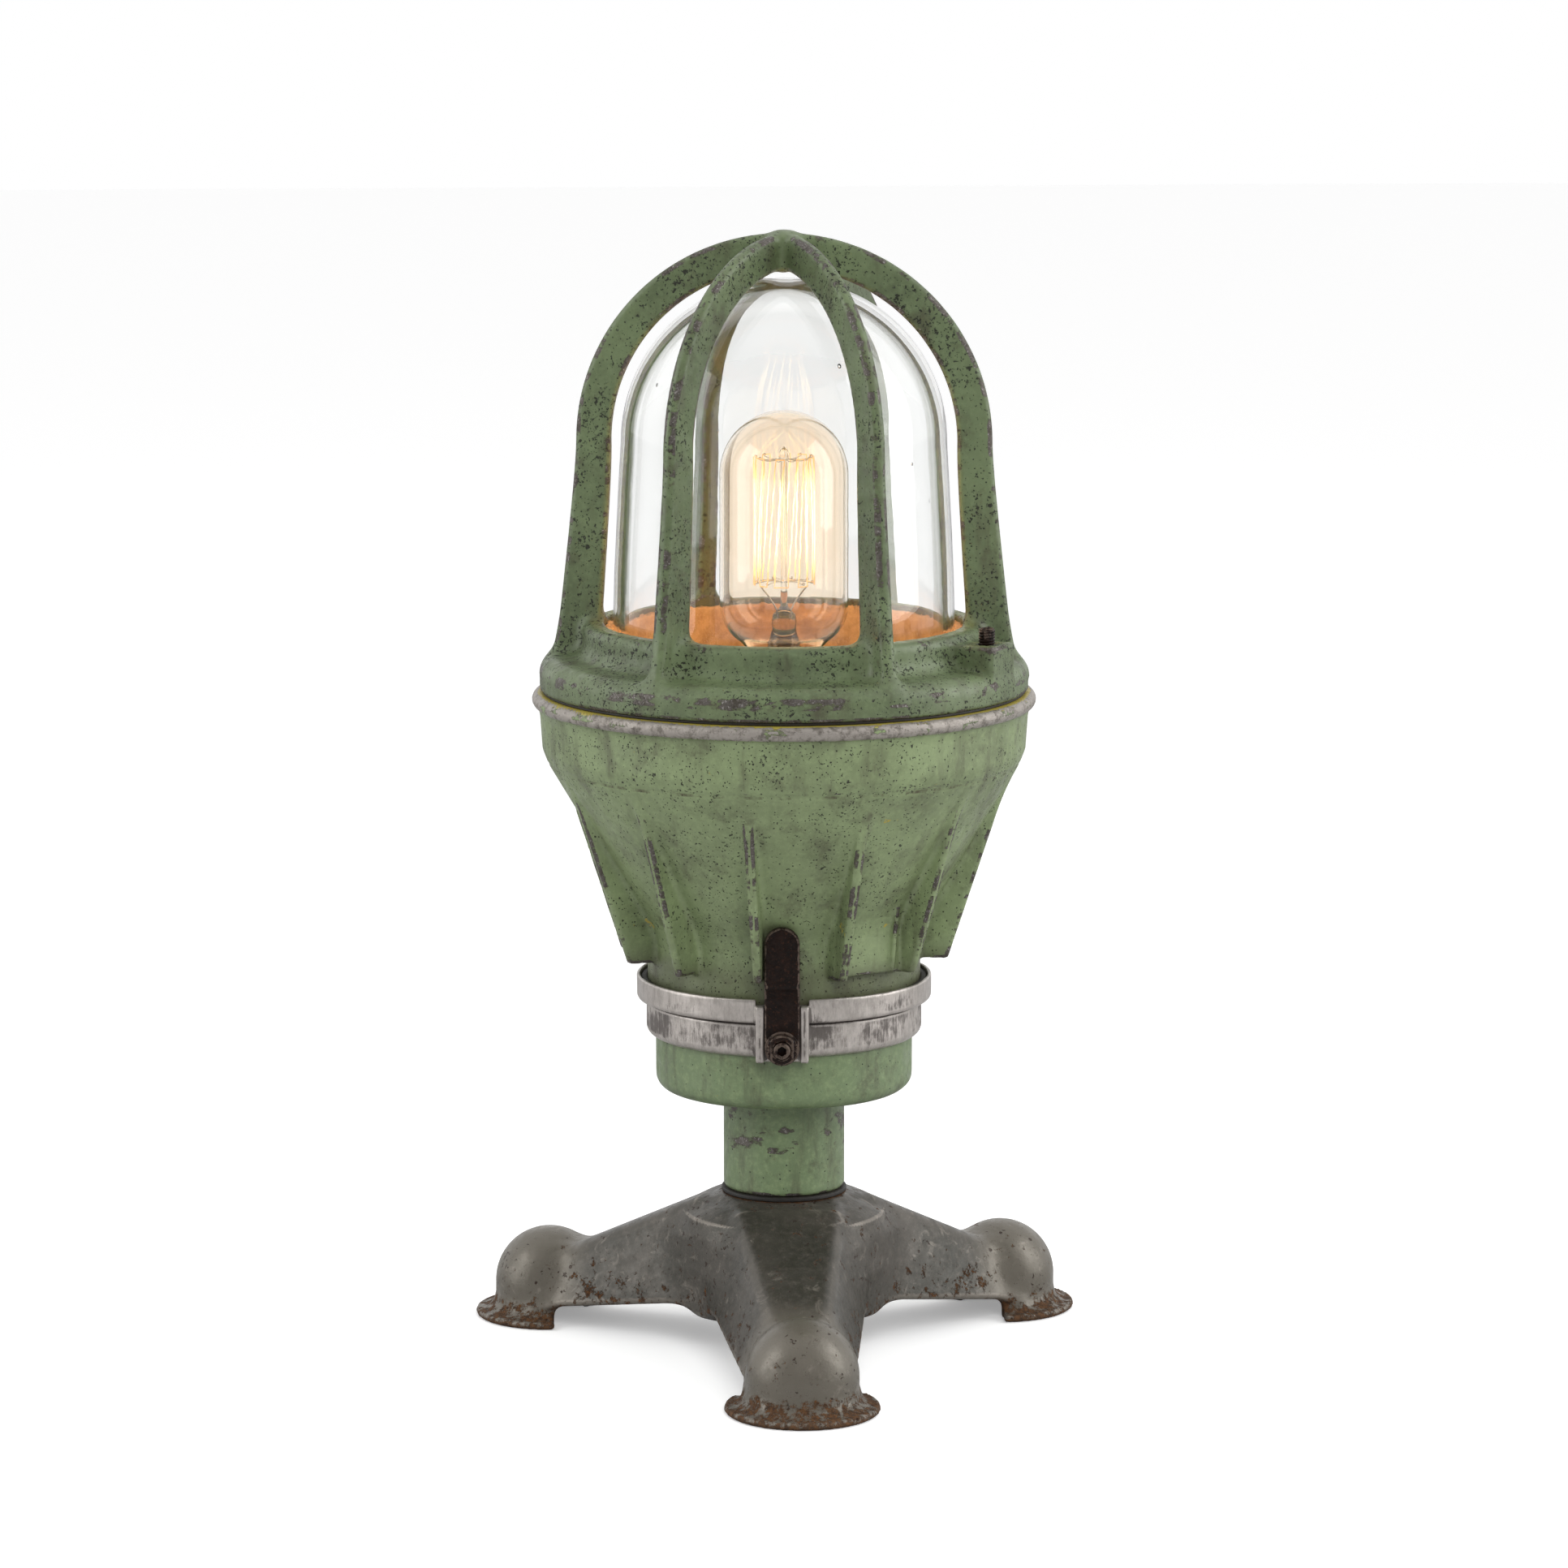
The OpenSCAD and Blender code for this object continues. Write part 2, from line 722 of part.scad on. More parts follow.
module bulb_cap() {
    thread_foot = cap_z + 4;
    color(brass) rotate_extrude() polygon(concat(
        [[8, thread_foot - 0.5], [cap_root_r, thread_foot - 0.5]],
        [for (i = [0:cap_turns - 1], s = [0:6]) [
            cap_root_r + (cap_r - cap_root_r) * (1 - cos(s * 360 / 6)) / 2,
            thread_foot + (i + s / 6.6) * cap_pitch,
        ]],
        [[cap_r + 0.2, glass_foot_z - 2.5], [cap_r + 0.2, glass_foot_z]],
        [[cap_root_r - 0.5, glass_foot_z], [cap_root_r - 0.5, thread_foot + 0.5], [8, thread_foot + 0.5]]
    ));
}

module bulb_insulator() {
    color(black) rotate_extrude()
        polygon([
            [0, cap_z + 1.2], [5, cap_z + 1.2], [11, cap_z + 3.5],
            [8, cap_z + 3.5], [8, cap_z + 4.5], [0, cap_z + 4.5],
        ]);
}

module bulb_contact() {
    color(brass) translate([0, 0, cap_z]) cylinder(r = 4.2, h = 1.2);
}

// Half outline of the bulb from the cap upwards.
function bulb_outline(inset) = concat(
    [[cap_root_r - 0.5 - inset, glass_foot_z - 4], [cap_root_r - 0.5 - inset, glass_foot_z]],
    arc([bulb_r - 15, glass_foot_z + 17], 15 - inset, -50, 0, 6),
    arc([0, bulb_top - bulb_r], bulb_r - inset, 0, 90, 12)
);

module bulb_glass() {
    wall = 0.9;
    color(amber) difference() {
        rotate_extrude() polygon(concat([[0, glass_foot_z - 4]], bulb_outline(0)));
        translate([0, 0, -eps]) rotate_extrude()
            polygon(concat([[0, glass_foot_z - 4]], bulb_outline(wall)));
    }
}

module bulb_stem() {
    color(clear) {
        rotate_extrude() polygon([
            [0, glass_foot_z - 4], [cap_root_r - 1.4, glass_foot_z - 4], [6, glass_foot_z + 2],
            [4, glass_foot_z + 12], [2, glass_foot_z + 16], [0, glass_foot_z + 16],
        ]);
        translate([0, 0, glass_foot_z + 15]) cylinder(r = rod_r, h = filament_z1 - glass_foot_z - 13);
    }
}

// Upright strands joined by the turns at their top and bottom hooks.
module filament() {
    color(glow) {
        for (i = [0:strand_n - 1]) rotate([0, 0, i * 360 / strand_n])
            translate([filament_r, 0, filament_z0]) cylinder(r = strand_r, h = filament_z1 - filament_z0);
        for (z = [filament_z0, filament_z1]) translate([0, 0, z])
            rotate_extrude() translate([filament_r, 0]) circle(strand_r * 1.1, $fn = 24);
    }
}

// Spokes from the glass rod out to the filament turns.
module filament_supports() {
    spoke_r = 0.25;
    color(steel) for (z = [filament_z0, filament_z1], i = [0:2:strand_n - 1])
        rotate([0, 0, i * 360 / strand_n]) translate([rod_r, 0, z]) rotate([0, 90, 0])
            cylinder(r = spoke_r, h = filament_r - rod_r - strand_r * 1.1);
}

// ---- Wiring ----

block = [34, 14, 13];
block_y = 18;
way_x = [-11, 0, 11];

module terminal_block() {
    color(porcelain) difference() {
        translate([-block[0] / 2, block_y, floor_z1]) cube(block);
        for (x = way_x)
            translate([x, block_y - 1, floor_z1 + 6]) rotate([-90, 0, 0]) cylinder(r = 2, h = 30);
        for (x = way_x) translate([x, block_y + 4, floor_z1 + 6]) cylinder(r = 1.5, h = 20);
    }
}

module terminal_screws() {
    color(brass) for (x = way_x)
        translate([x, block_y + 4, floor_z1 + block[2] - 1.6]) slot_screw(1.5, 1.4, 1.2, 3);
}

// One core from the cord end into its way of the terminal block, then on to where it is used.
function core_path(x, target) = [
    [x * 0.3, 0, floor_z1 + 12],
    [x * 0.3, 0, floor_z1 + 15],
    [x, block_y - 5, floor_z1 + 12],
    [x, block_y - 2, floor_z1 + 6],
    [x, block_y + block[1] + 3, floor_z1 + 6],
    [x, block_y + block[1] + 5, floor_z1 + 12],
    target,
];

module core(x, path_end) {
    path = core_path(x, path_end[0]);
    wire(concat(path, [for (i = [1:len(path_end) - 1]) path_end[i]]), 1.4, $fn = 12);
}

module live_wire() {
    color(rust) core(way_x[0], [[-9, 14, plate_z - 14], [-2, 6, plate_z - 9], [0, 4.4, plate_z - 5]]);
}

module neutral_wire() {
    color([0.25, 0.35, 0.60])
        core(way_x[1], [[6, 22, plate_z - 16], [9, 8, plate_z - 8], [8, 3, plate_z - 1]]);
}

module earth_wire() {
    color([0.45, 0.62, 0.25])
        core(way_x[2], [[24, 33, floor_z1 + 10], [27, 27, floor_z1 + 6], [26, 22, floor_z1 + 4]]);
}

module earth_screw() {
    color(brass) at_az(earth_az) translate([earth_r, 0, floor_z1]) slot_screw(3.6, 2.4, 2, 4);
}

module supply_cord() {
    color(black) translate([0, 0, nipple_z0 - 8]) cylinder(r = cord_r, h = floor_z1 + 12 - nipple_z0 + 8);
}

module cord_grip() {
    z = cup_z + cup_floor + locknut_t + 4;
    color(black) ring(nipple_r - 1, cord_r, z, z + 6);
}

base_casting();
base_washer();
base_locknut();
cord_bush();
stem_seat_washer();
stem_tube();
stem_nipple();
cup_locknut();
junction_cup();
collar();
collar_gasket();
latch_stud();
latch_strap();
latch_washer();
latch_nut();
bowl_housing();
rim_gasket();
guard();
globe_cement();
globe();
lock_screw();
lock_screw_tip();
mounting_plate();
plate_screws();
lampholder_body();
holder_screws();
screw_shell();
contact_plunger();
plunger_spring();
bulb_cap();
bulb_insulator();
bulb_contact();
bulb_glass();
bulb_stem();
filament();
filament_supports();
terminal_block();
terminal_screws();
live_wire();
neutral_wire();
earth_wire();
earth_screw();
supply_cord();
cord_grip();
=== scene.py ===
"""Looks of a caged explosion-proof table lamp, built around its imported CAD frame.

Lengths in this script are millimetres until a mesh is made; azimuths are degrees from -Y,
positive towards +X. Cast parts are implicit shapes meshed on a grid, turned parts are
revolved outlines, and every material is procedural.
"""

import json
import math
from itertools import product

import bpy
import numpy as np
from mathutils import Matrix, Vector

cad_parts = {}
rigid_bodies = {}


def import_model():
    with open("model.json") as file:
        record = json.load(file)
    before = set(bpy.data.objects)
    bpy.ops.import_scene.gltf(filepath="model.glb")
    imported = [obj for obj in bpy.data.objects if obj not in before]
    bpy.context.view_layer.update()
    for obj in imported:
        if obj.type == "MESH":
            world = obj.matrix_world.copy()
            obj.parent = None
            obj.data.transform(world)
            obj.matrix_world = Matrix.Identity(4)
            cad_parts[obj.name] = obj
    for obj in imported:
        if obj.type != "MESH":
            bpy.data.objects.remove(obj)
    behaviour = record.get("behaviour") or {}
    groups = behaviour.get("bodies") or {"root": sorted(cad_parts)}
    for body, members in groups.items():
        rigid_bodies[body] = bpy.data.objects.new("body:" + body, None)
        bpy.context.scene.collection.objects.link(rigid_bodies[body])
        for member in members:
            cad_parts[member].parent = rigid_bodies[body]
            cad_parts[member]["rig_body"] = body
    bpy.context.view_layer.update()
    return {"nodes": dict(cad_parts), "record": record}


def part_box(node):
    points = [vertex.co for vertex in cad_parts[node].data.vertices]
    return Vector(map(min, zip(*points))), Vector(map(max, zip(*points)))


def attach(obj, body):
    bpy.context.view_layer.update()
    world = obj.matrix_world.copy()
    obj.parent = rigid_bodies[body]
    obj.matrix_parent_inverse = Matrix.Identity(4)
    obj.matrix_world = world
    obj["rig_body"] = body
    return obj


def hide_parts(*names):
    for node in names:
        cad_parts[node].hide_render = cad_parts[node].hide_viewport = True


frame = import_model()
MM = 0.001
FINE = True
SLOTS = {part["node"]: part["material_slot"] for part in frame["record"]["subparts"]}


def low(node):
    """Lowest corner of a CAD node in millimetres."""
    return np.array(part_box(node)[0]) / MM


def high(node):
    """Highest corner of a CAD node in millimetres."""
    return np.array(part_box(node)[1]) / MM


# ---- Sizes read from the frame ----

HUB_TOP = high("base_casting")[2]
STEM_FOOT = low("stem_tube")[2]
STEM_TOP = high("stem_tube")[2]
STEM_R = high("stem_tube")[0]
CUP_R = high("junction_cup")[0]
COLLAR_FOOT = STEM_TOP + 19.5
COLLAR_TOP = high("collar")[2]
COLLAR_R = high("collar")[0]
SPIGOT_Z = low("bowl_housing")[2]
RIM = low("rim_gasket")[2]
FLANGE = high("rim_gasket")[2]
RIM_R = high("bowl_housing")[0]
FLANGE_R = high("guard")[0]
RING_TOP = high("globe_cement")[2] + 1.2
APEX = high("guard")[2]
GLOBE_R = high("globe")[0]
GLOBE_FOOT = low("globe")[2]
GLOBE_TOP = high("globe")[2]
BULB_R = high("bulb_glass")[0]
BULB_TOP = high("bulb_glass")[2]
GLASS_FOOT = low("bulb_glass")[2]
FILAMENT_LOW = low("filament")[2]
FILAMENT_HIGH = high("filament")[2]

LATCH_AZ = -4.5
BOSS_AZ = 59.0
RIB_AZ = 23.0
FIN_AZ = -13.0
LEG_AZ = (0.0, 120.0, 240.0)
NECK_R = 48.0
SPIGOT_R = 46.0
SEAL_Z = COLLAR_TOP - 6.3
BORE_R = 10.0
LOCK_R = 78.4


# ---- Signed distances, all on arrays of millimetres ----


def smooth_min(a, b, k):
    h = np.clip(0.5 + 0.5 * (b - a) / k, 0, 1)
    return b * (1 - h) + a * h - k * h * (1 - h)


def smooth_max(a, b, k):
    return -smooth_min(-a, -b, k)


def round_box(a, b, half_a, half_b, r):
    """Distance to a rectangle with rounded corners, centred on the origin."""
    qa = np.abs(a) - half_a + r
    qb = np.abs(b) - half_b + r
    outside = np.hypot(np.maximum(qa, 0), np.maximum(qb, 0))
    return outside + np.minimum(np.maximum(qa, qb), 0) - r


def polygon_distance(x, y, outline):
    """Signed distance to a closed outline, negative inside."""
    best = np.full(x.shape, 1e9)
    inside = np.zeros(x.shape, bool)
    for (x0, y0), (x1, y1) in zip(outline, outline[1:] + outline[:1]):
        ex, ey = x1 - x0, y1 - y0
        wx, wy = x - x0, y - y0
        t = np.clip((wx * ex + wy * ey) / max(ex * ex + ey * ey, 1e-12), 0, 1)
        best = np.minimum(best, (wx - ex * t) ** 2 + (wy - ey * t) ** 2)
        if y0 != y1:
            spans = (np.minimum(y0, y1) <= y) & (y < np.maximum(y0, y1))
            inside ^= spans & (wx < wy * ex / ey)
    return np.where(inside, -1.0, 1.0) * np.sqrt(best)


def turned(p, outline, r=0.0):
    """Distance to a revolved outline of [radius, height] points, its corners rounded by r."""
    return polygon_distance(axis_distance(p), p[:, 2], outline) - r


def around(p, azimuth):
    """Points as (out along an azimuth, across it, up)."""
    a = math.radians(azimuth - 90)
    out = p[:, 0] * math.cos(a) + p[:, 1] * math.sin(a)
    across = -p[:, 0] * math.sin(a) + p[:, 1] * math.cos(a)
    return out, across, p[:, 2]


def folded(p, azimuth, count):
    """Angle of each point from the nearest of count equal azimuths, in radians."""
    step = 2 * math.pi / count
    angle = np.arctan2(p[:, 1], p[:, 0]) - math.radians(azimuth - 90)
    return (angle + step / 2) % step - step / 2


def axis_distance(p):
    return np.hypot(p[:, 0], p[:, 1])


def arc(centre, r, a0, a1, n=10):
    angles = np.radians(np.linspace(a0, a1, n + 1))
    return [(centre[0] + r * math.cos(a), centre[1] + r * math.sin(a)) for a in angles]


def ringed(p, r_in, r_out, z0, z1, r=0.4):
    """Distance to a square ring round the upright axis, its edges rounded by r."""
    along = axis_distance(p) - (r_in + r_out) / 2
    return round_box(along, p[:, 2] - (z0 + z1) / 2, (r_out - r_in) / 2, (z1 - z0) / 2, r)


def rod(a, b, c, radius, c0, c1, r=0.3):
    """Distance to a round bar along c from c0 to c1, at a = b = 0, its ends rounded by r."""
    return round_box(np.hypot(a, b), c - (c0 + c1) / 2, radius, (c1 - c0) / 2, r)


def lumps(p, size, seed=0.0):
    """Gentle unevenness from -1 to 1, its lumps about size millimetres across."""
    q = p * (2.4 / size) + seed
    a = np.sin(q[:, 0] + 1.7 * np.sin(q[:, 1] * 0.7))
    b = np.sin(q[:, 1] * 1.1 + 1.3 * np.sin(q[:, 2] * 0.8 + 2))
    c = np.sin(q[:, 2] * 0.9 + 1.5 * np.sin(q[:, 0] * 0.9 + 4))
    return (a * b + b * c + c * a) / 2


# ---- Meshing an implicit shape ----


def sample(distance, lo, hi, step, block=4):
    """Grid of distances over a box, exact near the surface and coarse away from it."""
    counts = np.ceil((np.array(hi) - lo) / (step * block)).astype(int)
    centre = (block - 1) / 2 * step
    axes = [lo[i] + centre + np.arange(counts[i]) * step * block for i in range(3)]
    coarse_p = np.stack(np.meshgrid(*axes, indexing="ij"), -1).reshape(-1, 3)
    coarse = distance(coarse_p).reshape(counts)
    near = np.abs(coarse) < step * block * 1.5
    full = coarse
    for axis in range(3):
        full = np.repeat(full, block, axis)
        near = np.repeat(near, block, axis)
    where = np.argwhere(near)
    values = np.empty(len(where))
    for i in range(0, len(where), 400000):
        part = where[i : i + 400000]
        values[i : i + 400000] = distance(part * step + lo)
    full = full.astype(np.float32)
    full[near] = values
    return full


def surface_net(grid, lo, step):
    """Vertices and quads of the grid's zero surface."""
    solid = grid < 0
    size = np.array(grid.shape)
    corners = list(product((0, 1), repeat=3))
    views = [solid[tuple(slice(c[i], size[i] - 1 + c[i]) for i in range(3))] for c in corners]
    mixed = np.logical_or.reduce(views) & ~np.logical_and.reduce(views)
    cells = np.argwhere(mixed)
    number = np.full(mixed.shape, -1, np.int32)
    number[mixed] = np.arange(len(cells))
    total = np.zeros((len(cells), 3))
    hits = np.zeros(len(cells))
    for c in corners:
        for axis in range(3):
            if c[axis]:
                continue
            d = np.array(c)
            d[axis] = 1
            fa = grid[tuple((cells + c).T)]
            fb = grid[tuple((cells + d).T)]
            cross = (fa < 0) != (fb < 0)
            t = np.where(cross, fa / np.where(cross, fa - fb, 1), 0)
            point = np.array(c) + t[:, None] * (d - np.array(c))
            total += np.where(cross[:, None], point, 0)
            hits += cross
    vertices = (cells + total / hits[:, None]) * step + lo
    faces = []
    for axis in range(3):
        u, v = (axis + 1) % 3, (axis + 2) % 3
        a = np.take(solid, range(size[axis] - 1), axis)
        b = np.take(solid, range(1, size[axis]), axis)
        edge = np.argwhere(a != b)
        edge = edge[(edge[:, u] > 0) & (edge[:, v] > 0)]
        edge = edge[(edge[:, u] < size[u] - 1) & (edge[:, v] < size[v] - 1)]
        starts_solid = a[tuple(edge.T)]
        ring = []
        for du, dv in ((0, 0), (-1, 0), (-1, -1), (0, -1)):
            cell = edge.copy()
            cell[:, u] += du
            cell[:, v] += dv
            ring.append(number[tuple(cell.T)])
        quad = np.stack(ring, -1)
        quad[~starts_solid] = quad[~starts_solid][:, ::-1]
        faces.append(quad)
    return vertices, np.concatenate(faces)


def gradient(distance, points, h):
    """Slope of the distance at each point, by central differences."""
    slope = np.zeros_like(points)
    for axis in range(3):
        shift = np.zeros(3)
        shift[axis] = h
        slope[:, axis] = (distance(points + shift) - distance(points - shift)) / (2 * h)
    return slope


def settle(distance, points, step):
    """Moves points onto the zero surface."""
    for _ in range(3):
        slope = gradient(distance, points, 0.05)
        length = np.maximum((slope**2).sum(1), 0.2)
        move = -distance(points)[:, None] * slope / length[:, None]
        points = points + np.clip(move, -step / 2, step / 2)
    return points


def bend(distance, points, h=1.0):
    """How convex the surface is at each point, positive on outside edges, per millimetre."""
    total = -6 * distance(points)
    for axis in range(3):
        shift = np.zeros(3)
        shift[axis] = h
        total += distance(points + shift) + distance(points - shift)
    return np.clip(total / (h * h), -2, 2)


def new_mesh(name, vertices, faces, attributes=None):
    """Mesh object from millimetre vertices, shaded smooth, with its named point attributes."""
    mesh = bpy.data.meshes.new(name)
    mesh.from_pydata((np.asarray(vertices) * MM).tolist(), [], [list(map(int, f)) for f in faces])
    mesh.validate()
    mesh.shade_smooth()
    for key, values in (attributes or {}).items():
        layer = mesh.attributes.new(key, "FLOAT", "POINT")
        layer.data.foreach_set("value", np.asarray(values, np.float32))
    obj = bpy.data.objects.new(name, mesh)
    bpy.context.scene.collection.objects.link(obj)
    return obj


def stand_in(obj, node):
    """Makes a piece take the place and body of a CAD node."""
    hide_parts(node)
    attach(obj, frame["nodes"][node]["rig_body"])
    return obj


def cast(node, distance, step):
    """Meshes an implicit shape in place of a CAD node, with its convexity as attribute 'edge'."""
    if not FINE:
        step = step * 1.5
    lo = low(node) - 3 * step
    grid = sample(distance, lo, high(node) + 3 * step, step)
    vertices, faces = surface_net(grid, lo, step)
    vertices = settle(distance, vertices, step)
    obj = new_mesh(node + "_piece", vertices, faces, {"edge": bend(distance, vertices)})
    return stand_in(obj, node)


# ---- Guard ----

RIB_COUNT = 6
RIB_SPRING = APEX - 72.6
RIB_MID = 66.4
RIB_DEPTH = 12.2
SHOULDER = FLANGE + 11
NECK_OUT = 69.8
NECK_IN = 62.8
THREAD_R = 75.4


def ring_outline():
    """Half section of the guard ring, drawn 0.6 mm small so that its corners can be rounded."""
    e = 0.6
    return (
        [(THREAD_R - e, FLANGE - 14 + e), (THREAD_R - e, FLANGE + e), (FLANGE_R - e, FLANGE + e)]
        + [(FLANGE_R - e, FLANGE + 5)]
        + arc((79.2, FLANGE + 5), FLANGE_R - e - 79.2, 0, 80, 8)
        + arc((NECK_OUT - e + 6, SHOULDER + 6), 6, 265, 180, 8)
        + arc((NECK_OUT - 3, RING_TOP - 3), 3 - e, 0, 90, 6)
        + [(NECK_IN + e, RING_TOP - e), (NECK_IN + e, FLANGE + 4 - e), (55.5 + e, FLANGE + 4 - e)]
        + [(55.5 + e, FLANGE - 2 + e), (THREAD_R - 7 + e, FLANGE - 2 + e)]
        + [(THREAD_R - 7 + e, FLANGE - 14 + e)]
    )


def rib_distance(out, across, z):
    """One guard rib, standing on the plane where across is 0."""
    below = np.maximum(RIB_SPRING - z, 0)
    above = np.maximum(z - RIB_SPRING, 0)
    flare = below**2 / (below + 14) * 0.115
    depth = RIB_DEPTH / 2 + below * 0.022 + np.maximum(FLANGE + 30 - z, 0) ** 2 * 0.0035
    along = np.hypot(out, above) - RIB_MID - flare * 0.82
    half = 2.9 + 0.006 * below + np.clip(-along, -6, 6) * 0.11
    return round_box(along, across, depth, half, 1.9)


def guard_distance(p):
    ring = turned(p, ring_outline(), 0.6)
    angle = folded(p, RIB_AZ, RIB_COUNT)
    radius = axis_distance(p)
    z = p[:, 2]
    rib = rib_distance(radius * np.cos(angle), radius * np.sin(angle), z)
    side = np.where(angle > 0, -1, 1) * 2 * math.pi / RIB_COUNT
    other = angle + side
    next_rib = rib_distance(radius * np.cos(other), radius * np.sin(other), z)
    cage = smooth_min(rib, next_rib, 4.5)
    cage = np.maximum(cage, SHOULDER - 4 - z)
    body = smooth_min(ring, cage, 5.0)
    out, across, _ = around(p, BOSS_AZ)
    boss = round_box(out - 75.7, across, 9.5, 9.2, 2.2)
    boss = smooth_max(boss, z - (FLANGE + 20), 1.4)
    boss = np.maximum(boss, FLANGE + 2 - z)
    body = smooth_min(body, boss, 2.2)
    hole = np.hypot(out - LOCK_R, across) - 3.05
    body = smooth_max(body, -hole, 0.5)
    bore = np.maximum(radius - NECK_IN, np.maximum(FLANGE + 4 - z, z - RING_TOP - 3))
    body = np.maximum(body, -bore)
    return body


# ---- Bowl ----

BAND_R = 86.0
CONE_TOP = RIM - 25
CONE_TOP_R = BAND_R - 3.3
CONE_SLOPE = 0.594
CONE_FOOT_Z = CONE_TOP - (CONE_TOP_R - 51.5) / CONE_SLOPE
FIN_FOOT = COLLAR_TOP + 6.7
FIN_COUNT = 12


def bowl_outside():
    return (
        [(0, SPIGOT_Z), (SPIGOT_R, SPIGOT_Z), (SPIGOT_R, SEAL_Z), (NECK_R, SEAL_Z)]
        + arc((NECK_R + 25, CONE_FOOT_Z - 12.8), 25, 180, 149.3, 8)
        + [(CONE_TOP_R, CONE_TOP), (BAND_R - 1.4, CONE_TOP + 5), (BAND_R - 0.6, RIM - 8)]
        + [(BAND_R, RIM - 5.8)]
        + arc((RIM_R - 2.7, RIM - 2.75), 2.7, 285, 430, 10)
        + [(THREAD_R + 8, RIM), (0, RIM)]
    )


def bowl_inside():
    return [
        (0, RIM + 20),
        (THREAD_R + 0.1, RIM + 20),
        (THREAD_R + 0.1, CONE_TOP - 2),
        (45.5, CONE_FOOT_Z),
        (43, CONE_FOOT_Z - 9),
        (43, COLLAR_TOP + 8),
        (12, COLLAR_TOP + 8),
        (12, COLLAR_TOP + 4),
        (41, COLLAR_TOP + 4),
        (41, SPIGOT_Z - 20),
        (0, SPIGOT_Z - 20),
    ]


def fin_distance(out, across, z):
    """One cooling fin: a thin plate under a slanted edge."""
    edge_r = NECK_R + 11.8 + (z - FIN_FOOT - 5) * 0.327
    edge_r = np.minimum(edge_r, NECK_R + 11.8 + (z - FIN_FOOT) * 2.5)
    plate = round_box(out - edge_r / 2, across, edge_r / 2, 1.45 + 0.006 * (z - FIN_FOOT), 0.9)
    return smooth_max(plate, FIN_FOOT - z, 1.0)


def bowl_distance(p):
    radius = axis_distance(p)
    z = p[:, 2]
    shell = turned(p, bowl_outside())
    angle = folded(p, FIN_AZ, FIN_COUNT)
    fin = fin_distance(radius * np.cos(angle), radius * np.sin(angle), z)
    fin = np.maximum(fin, z - CONE_TOP)
    body = smooth_min(shell, fin, 2.2)
    out, across, _ = around(p, FIN_AZ + 30 + 13)
    pad = round_box(out - 30, across, 21.6 + np.clip(z - FIN_FOOT - 14, 0, 40) * 0.2, 13.5, 1.0)
    pad = smooth_max(pad, FIN_FOOT + 0.5 - z, 0.8)
    pad = np.maximum(pad, z - FIN_FOOT - 34)
    body = smooth_min(body, pad, 1.6)
    ridge_out, ridge_across, _ = around(p, FIN_AZ + 54)
    ridge_r = NECK_R + 5.6 + np.clip(z - FIN_FOOT, 0, 30) * 0.12
    ridge = round_box(ridge_out - ridge_r / 2, ridge_across, ridge_r / 2, 0.9, 0.6)
    ridge = np.maximum(smooth_max(ridge, FIN_FOOT + 1 - z, 0.8), z - FIN_FOOT - 24)
    body = smooth_min(body, ridge, 1.2)
    seam = np.hypot(radius - CONE_TOP_R - 0.5, z - CONE_TOP) - 0.8
    body = smooth_max(body, -seam, 0.5)
    return smooth_max(body, -turned(p, bowl_inside()), 0.6)


# ---- Base ----

FOOT_CIRCLE = 94.6
DOME_R = 19.5
DOME_Z = 12.6
BRIM_R = 26.7


def hub_outline():
    return (
        [(0, 17), (31, 17), (35.5, 30), (36.5, 43), (35.2, 48.8), (29.5, 52.4)]
        + arc((20, HUB_TOP - 7), 7, 50, 90, 6)
        + [(0, HUB_TOP)]
    )


def leg_distance(out, across, z):
    """One leg: a flat topped beam that narrows and drops towards its foot."""
    t = np.clip((out - 26) / 60, 0, 1.2)
    top = HUB_TOP - 2.2 - np.clip(out - 26, 0, 90) * 0.462
    bottom = 17 - 10 * t
    share = np.clip((top - z) / (top - bottom), 0, 1.2)
    half_top = 18.5 - 10 * t
    half_low = 27.5 - 8 * t
    half = half_top + (half_low - half_top) * share**0.8
    side = (np.abs(across) - half) * 0.93
    cap = (z - top) * 0.9
    beam = smooth_max(side, cap, 3.5)
    beam = smooth_max(beam, bottom - z, 2.5)
    beam = np.maximum(beam, -out)
    return smooth_max(beam, out - 92, 4.0)


def brim_outline():
    return (
        [(0, 0.01), (BRIM_R - 1.2, 0.01), (BRIM_R, 0.9), (BRIM_R - 0.1, 2.0), (BRIM_R - 0.9, 2.9)]
        + arc((DOME_R + 5.6, 8.6), 5.9, 285, 190, 8)
        + [(0, 10)]
    )


def foot_distance(out, across, z):
    x = out - FOOT_CIRCLE
    radius = np.hypot(x, across)
    ball = np.sqrt(x**2 + across**2 + (z - DOME_Z) ** 2) - DOME_R
    reach = np.abs(np.degrees(np.arctan2(across, x)))
    cut = (reach - 122) * np.pi / 180 * np.maximum(radius, 1)
    column = smooth_max(radius - DOME_R, np.minimum(cut, z + 4), 1.5)
    dome = np.where(z > DOME_Z, ball, column)
    brim = polygon_distance(radius, z, brim_outline())
    brim = smooth_max(brim, cut, 1.5)
    return smooth_min(dome, brim, 1.2)


def base_solid(p, inset):
    """The base grown inwards by inset; 0 is its outside."""
    body = turned(p, hub_outline()) + inset
    for azimuth in LEG_AZ:
        out, across, z = around(p, azimuth)
        fillet = 4.0 if inset else np.clip((52 - z) * 0.9, 2.0, 10.0)
        body = smooth_min(body, leg_distance(out, across, z) + inset, fillet)
    return body


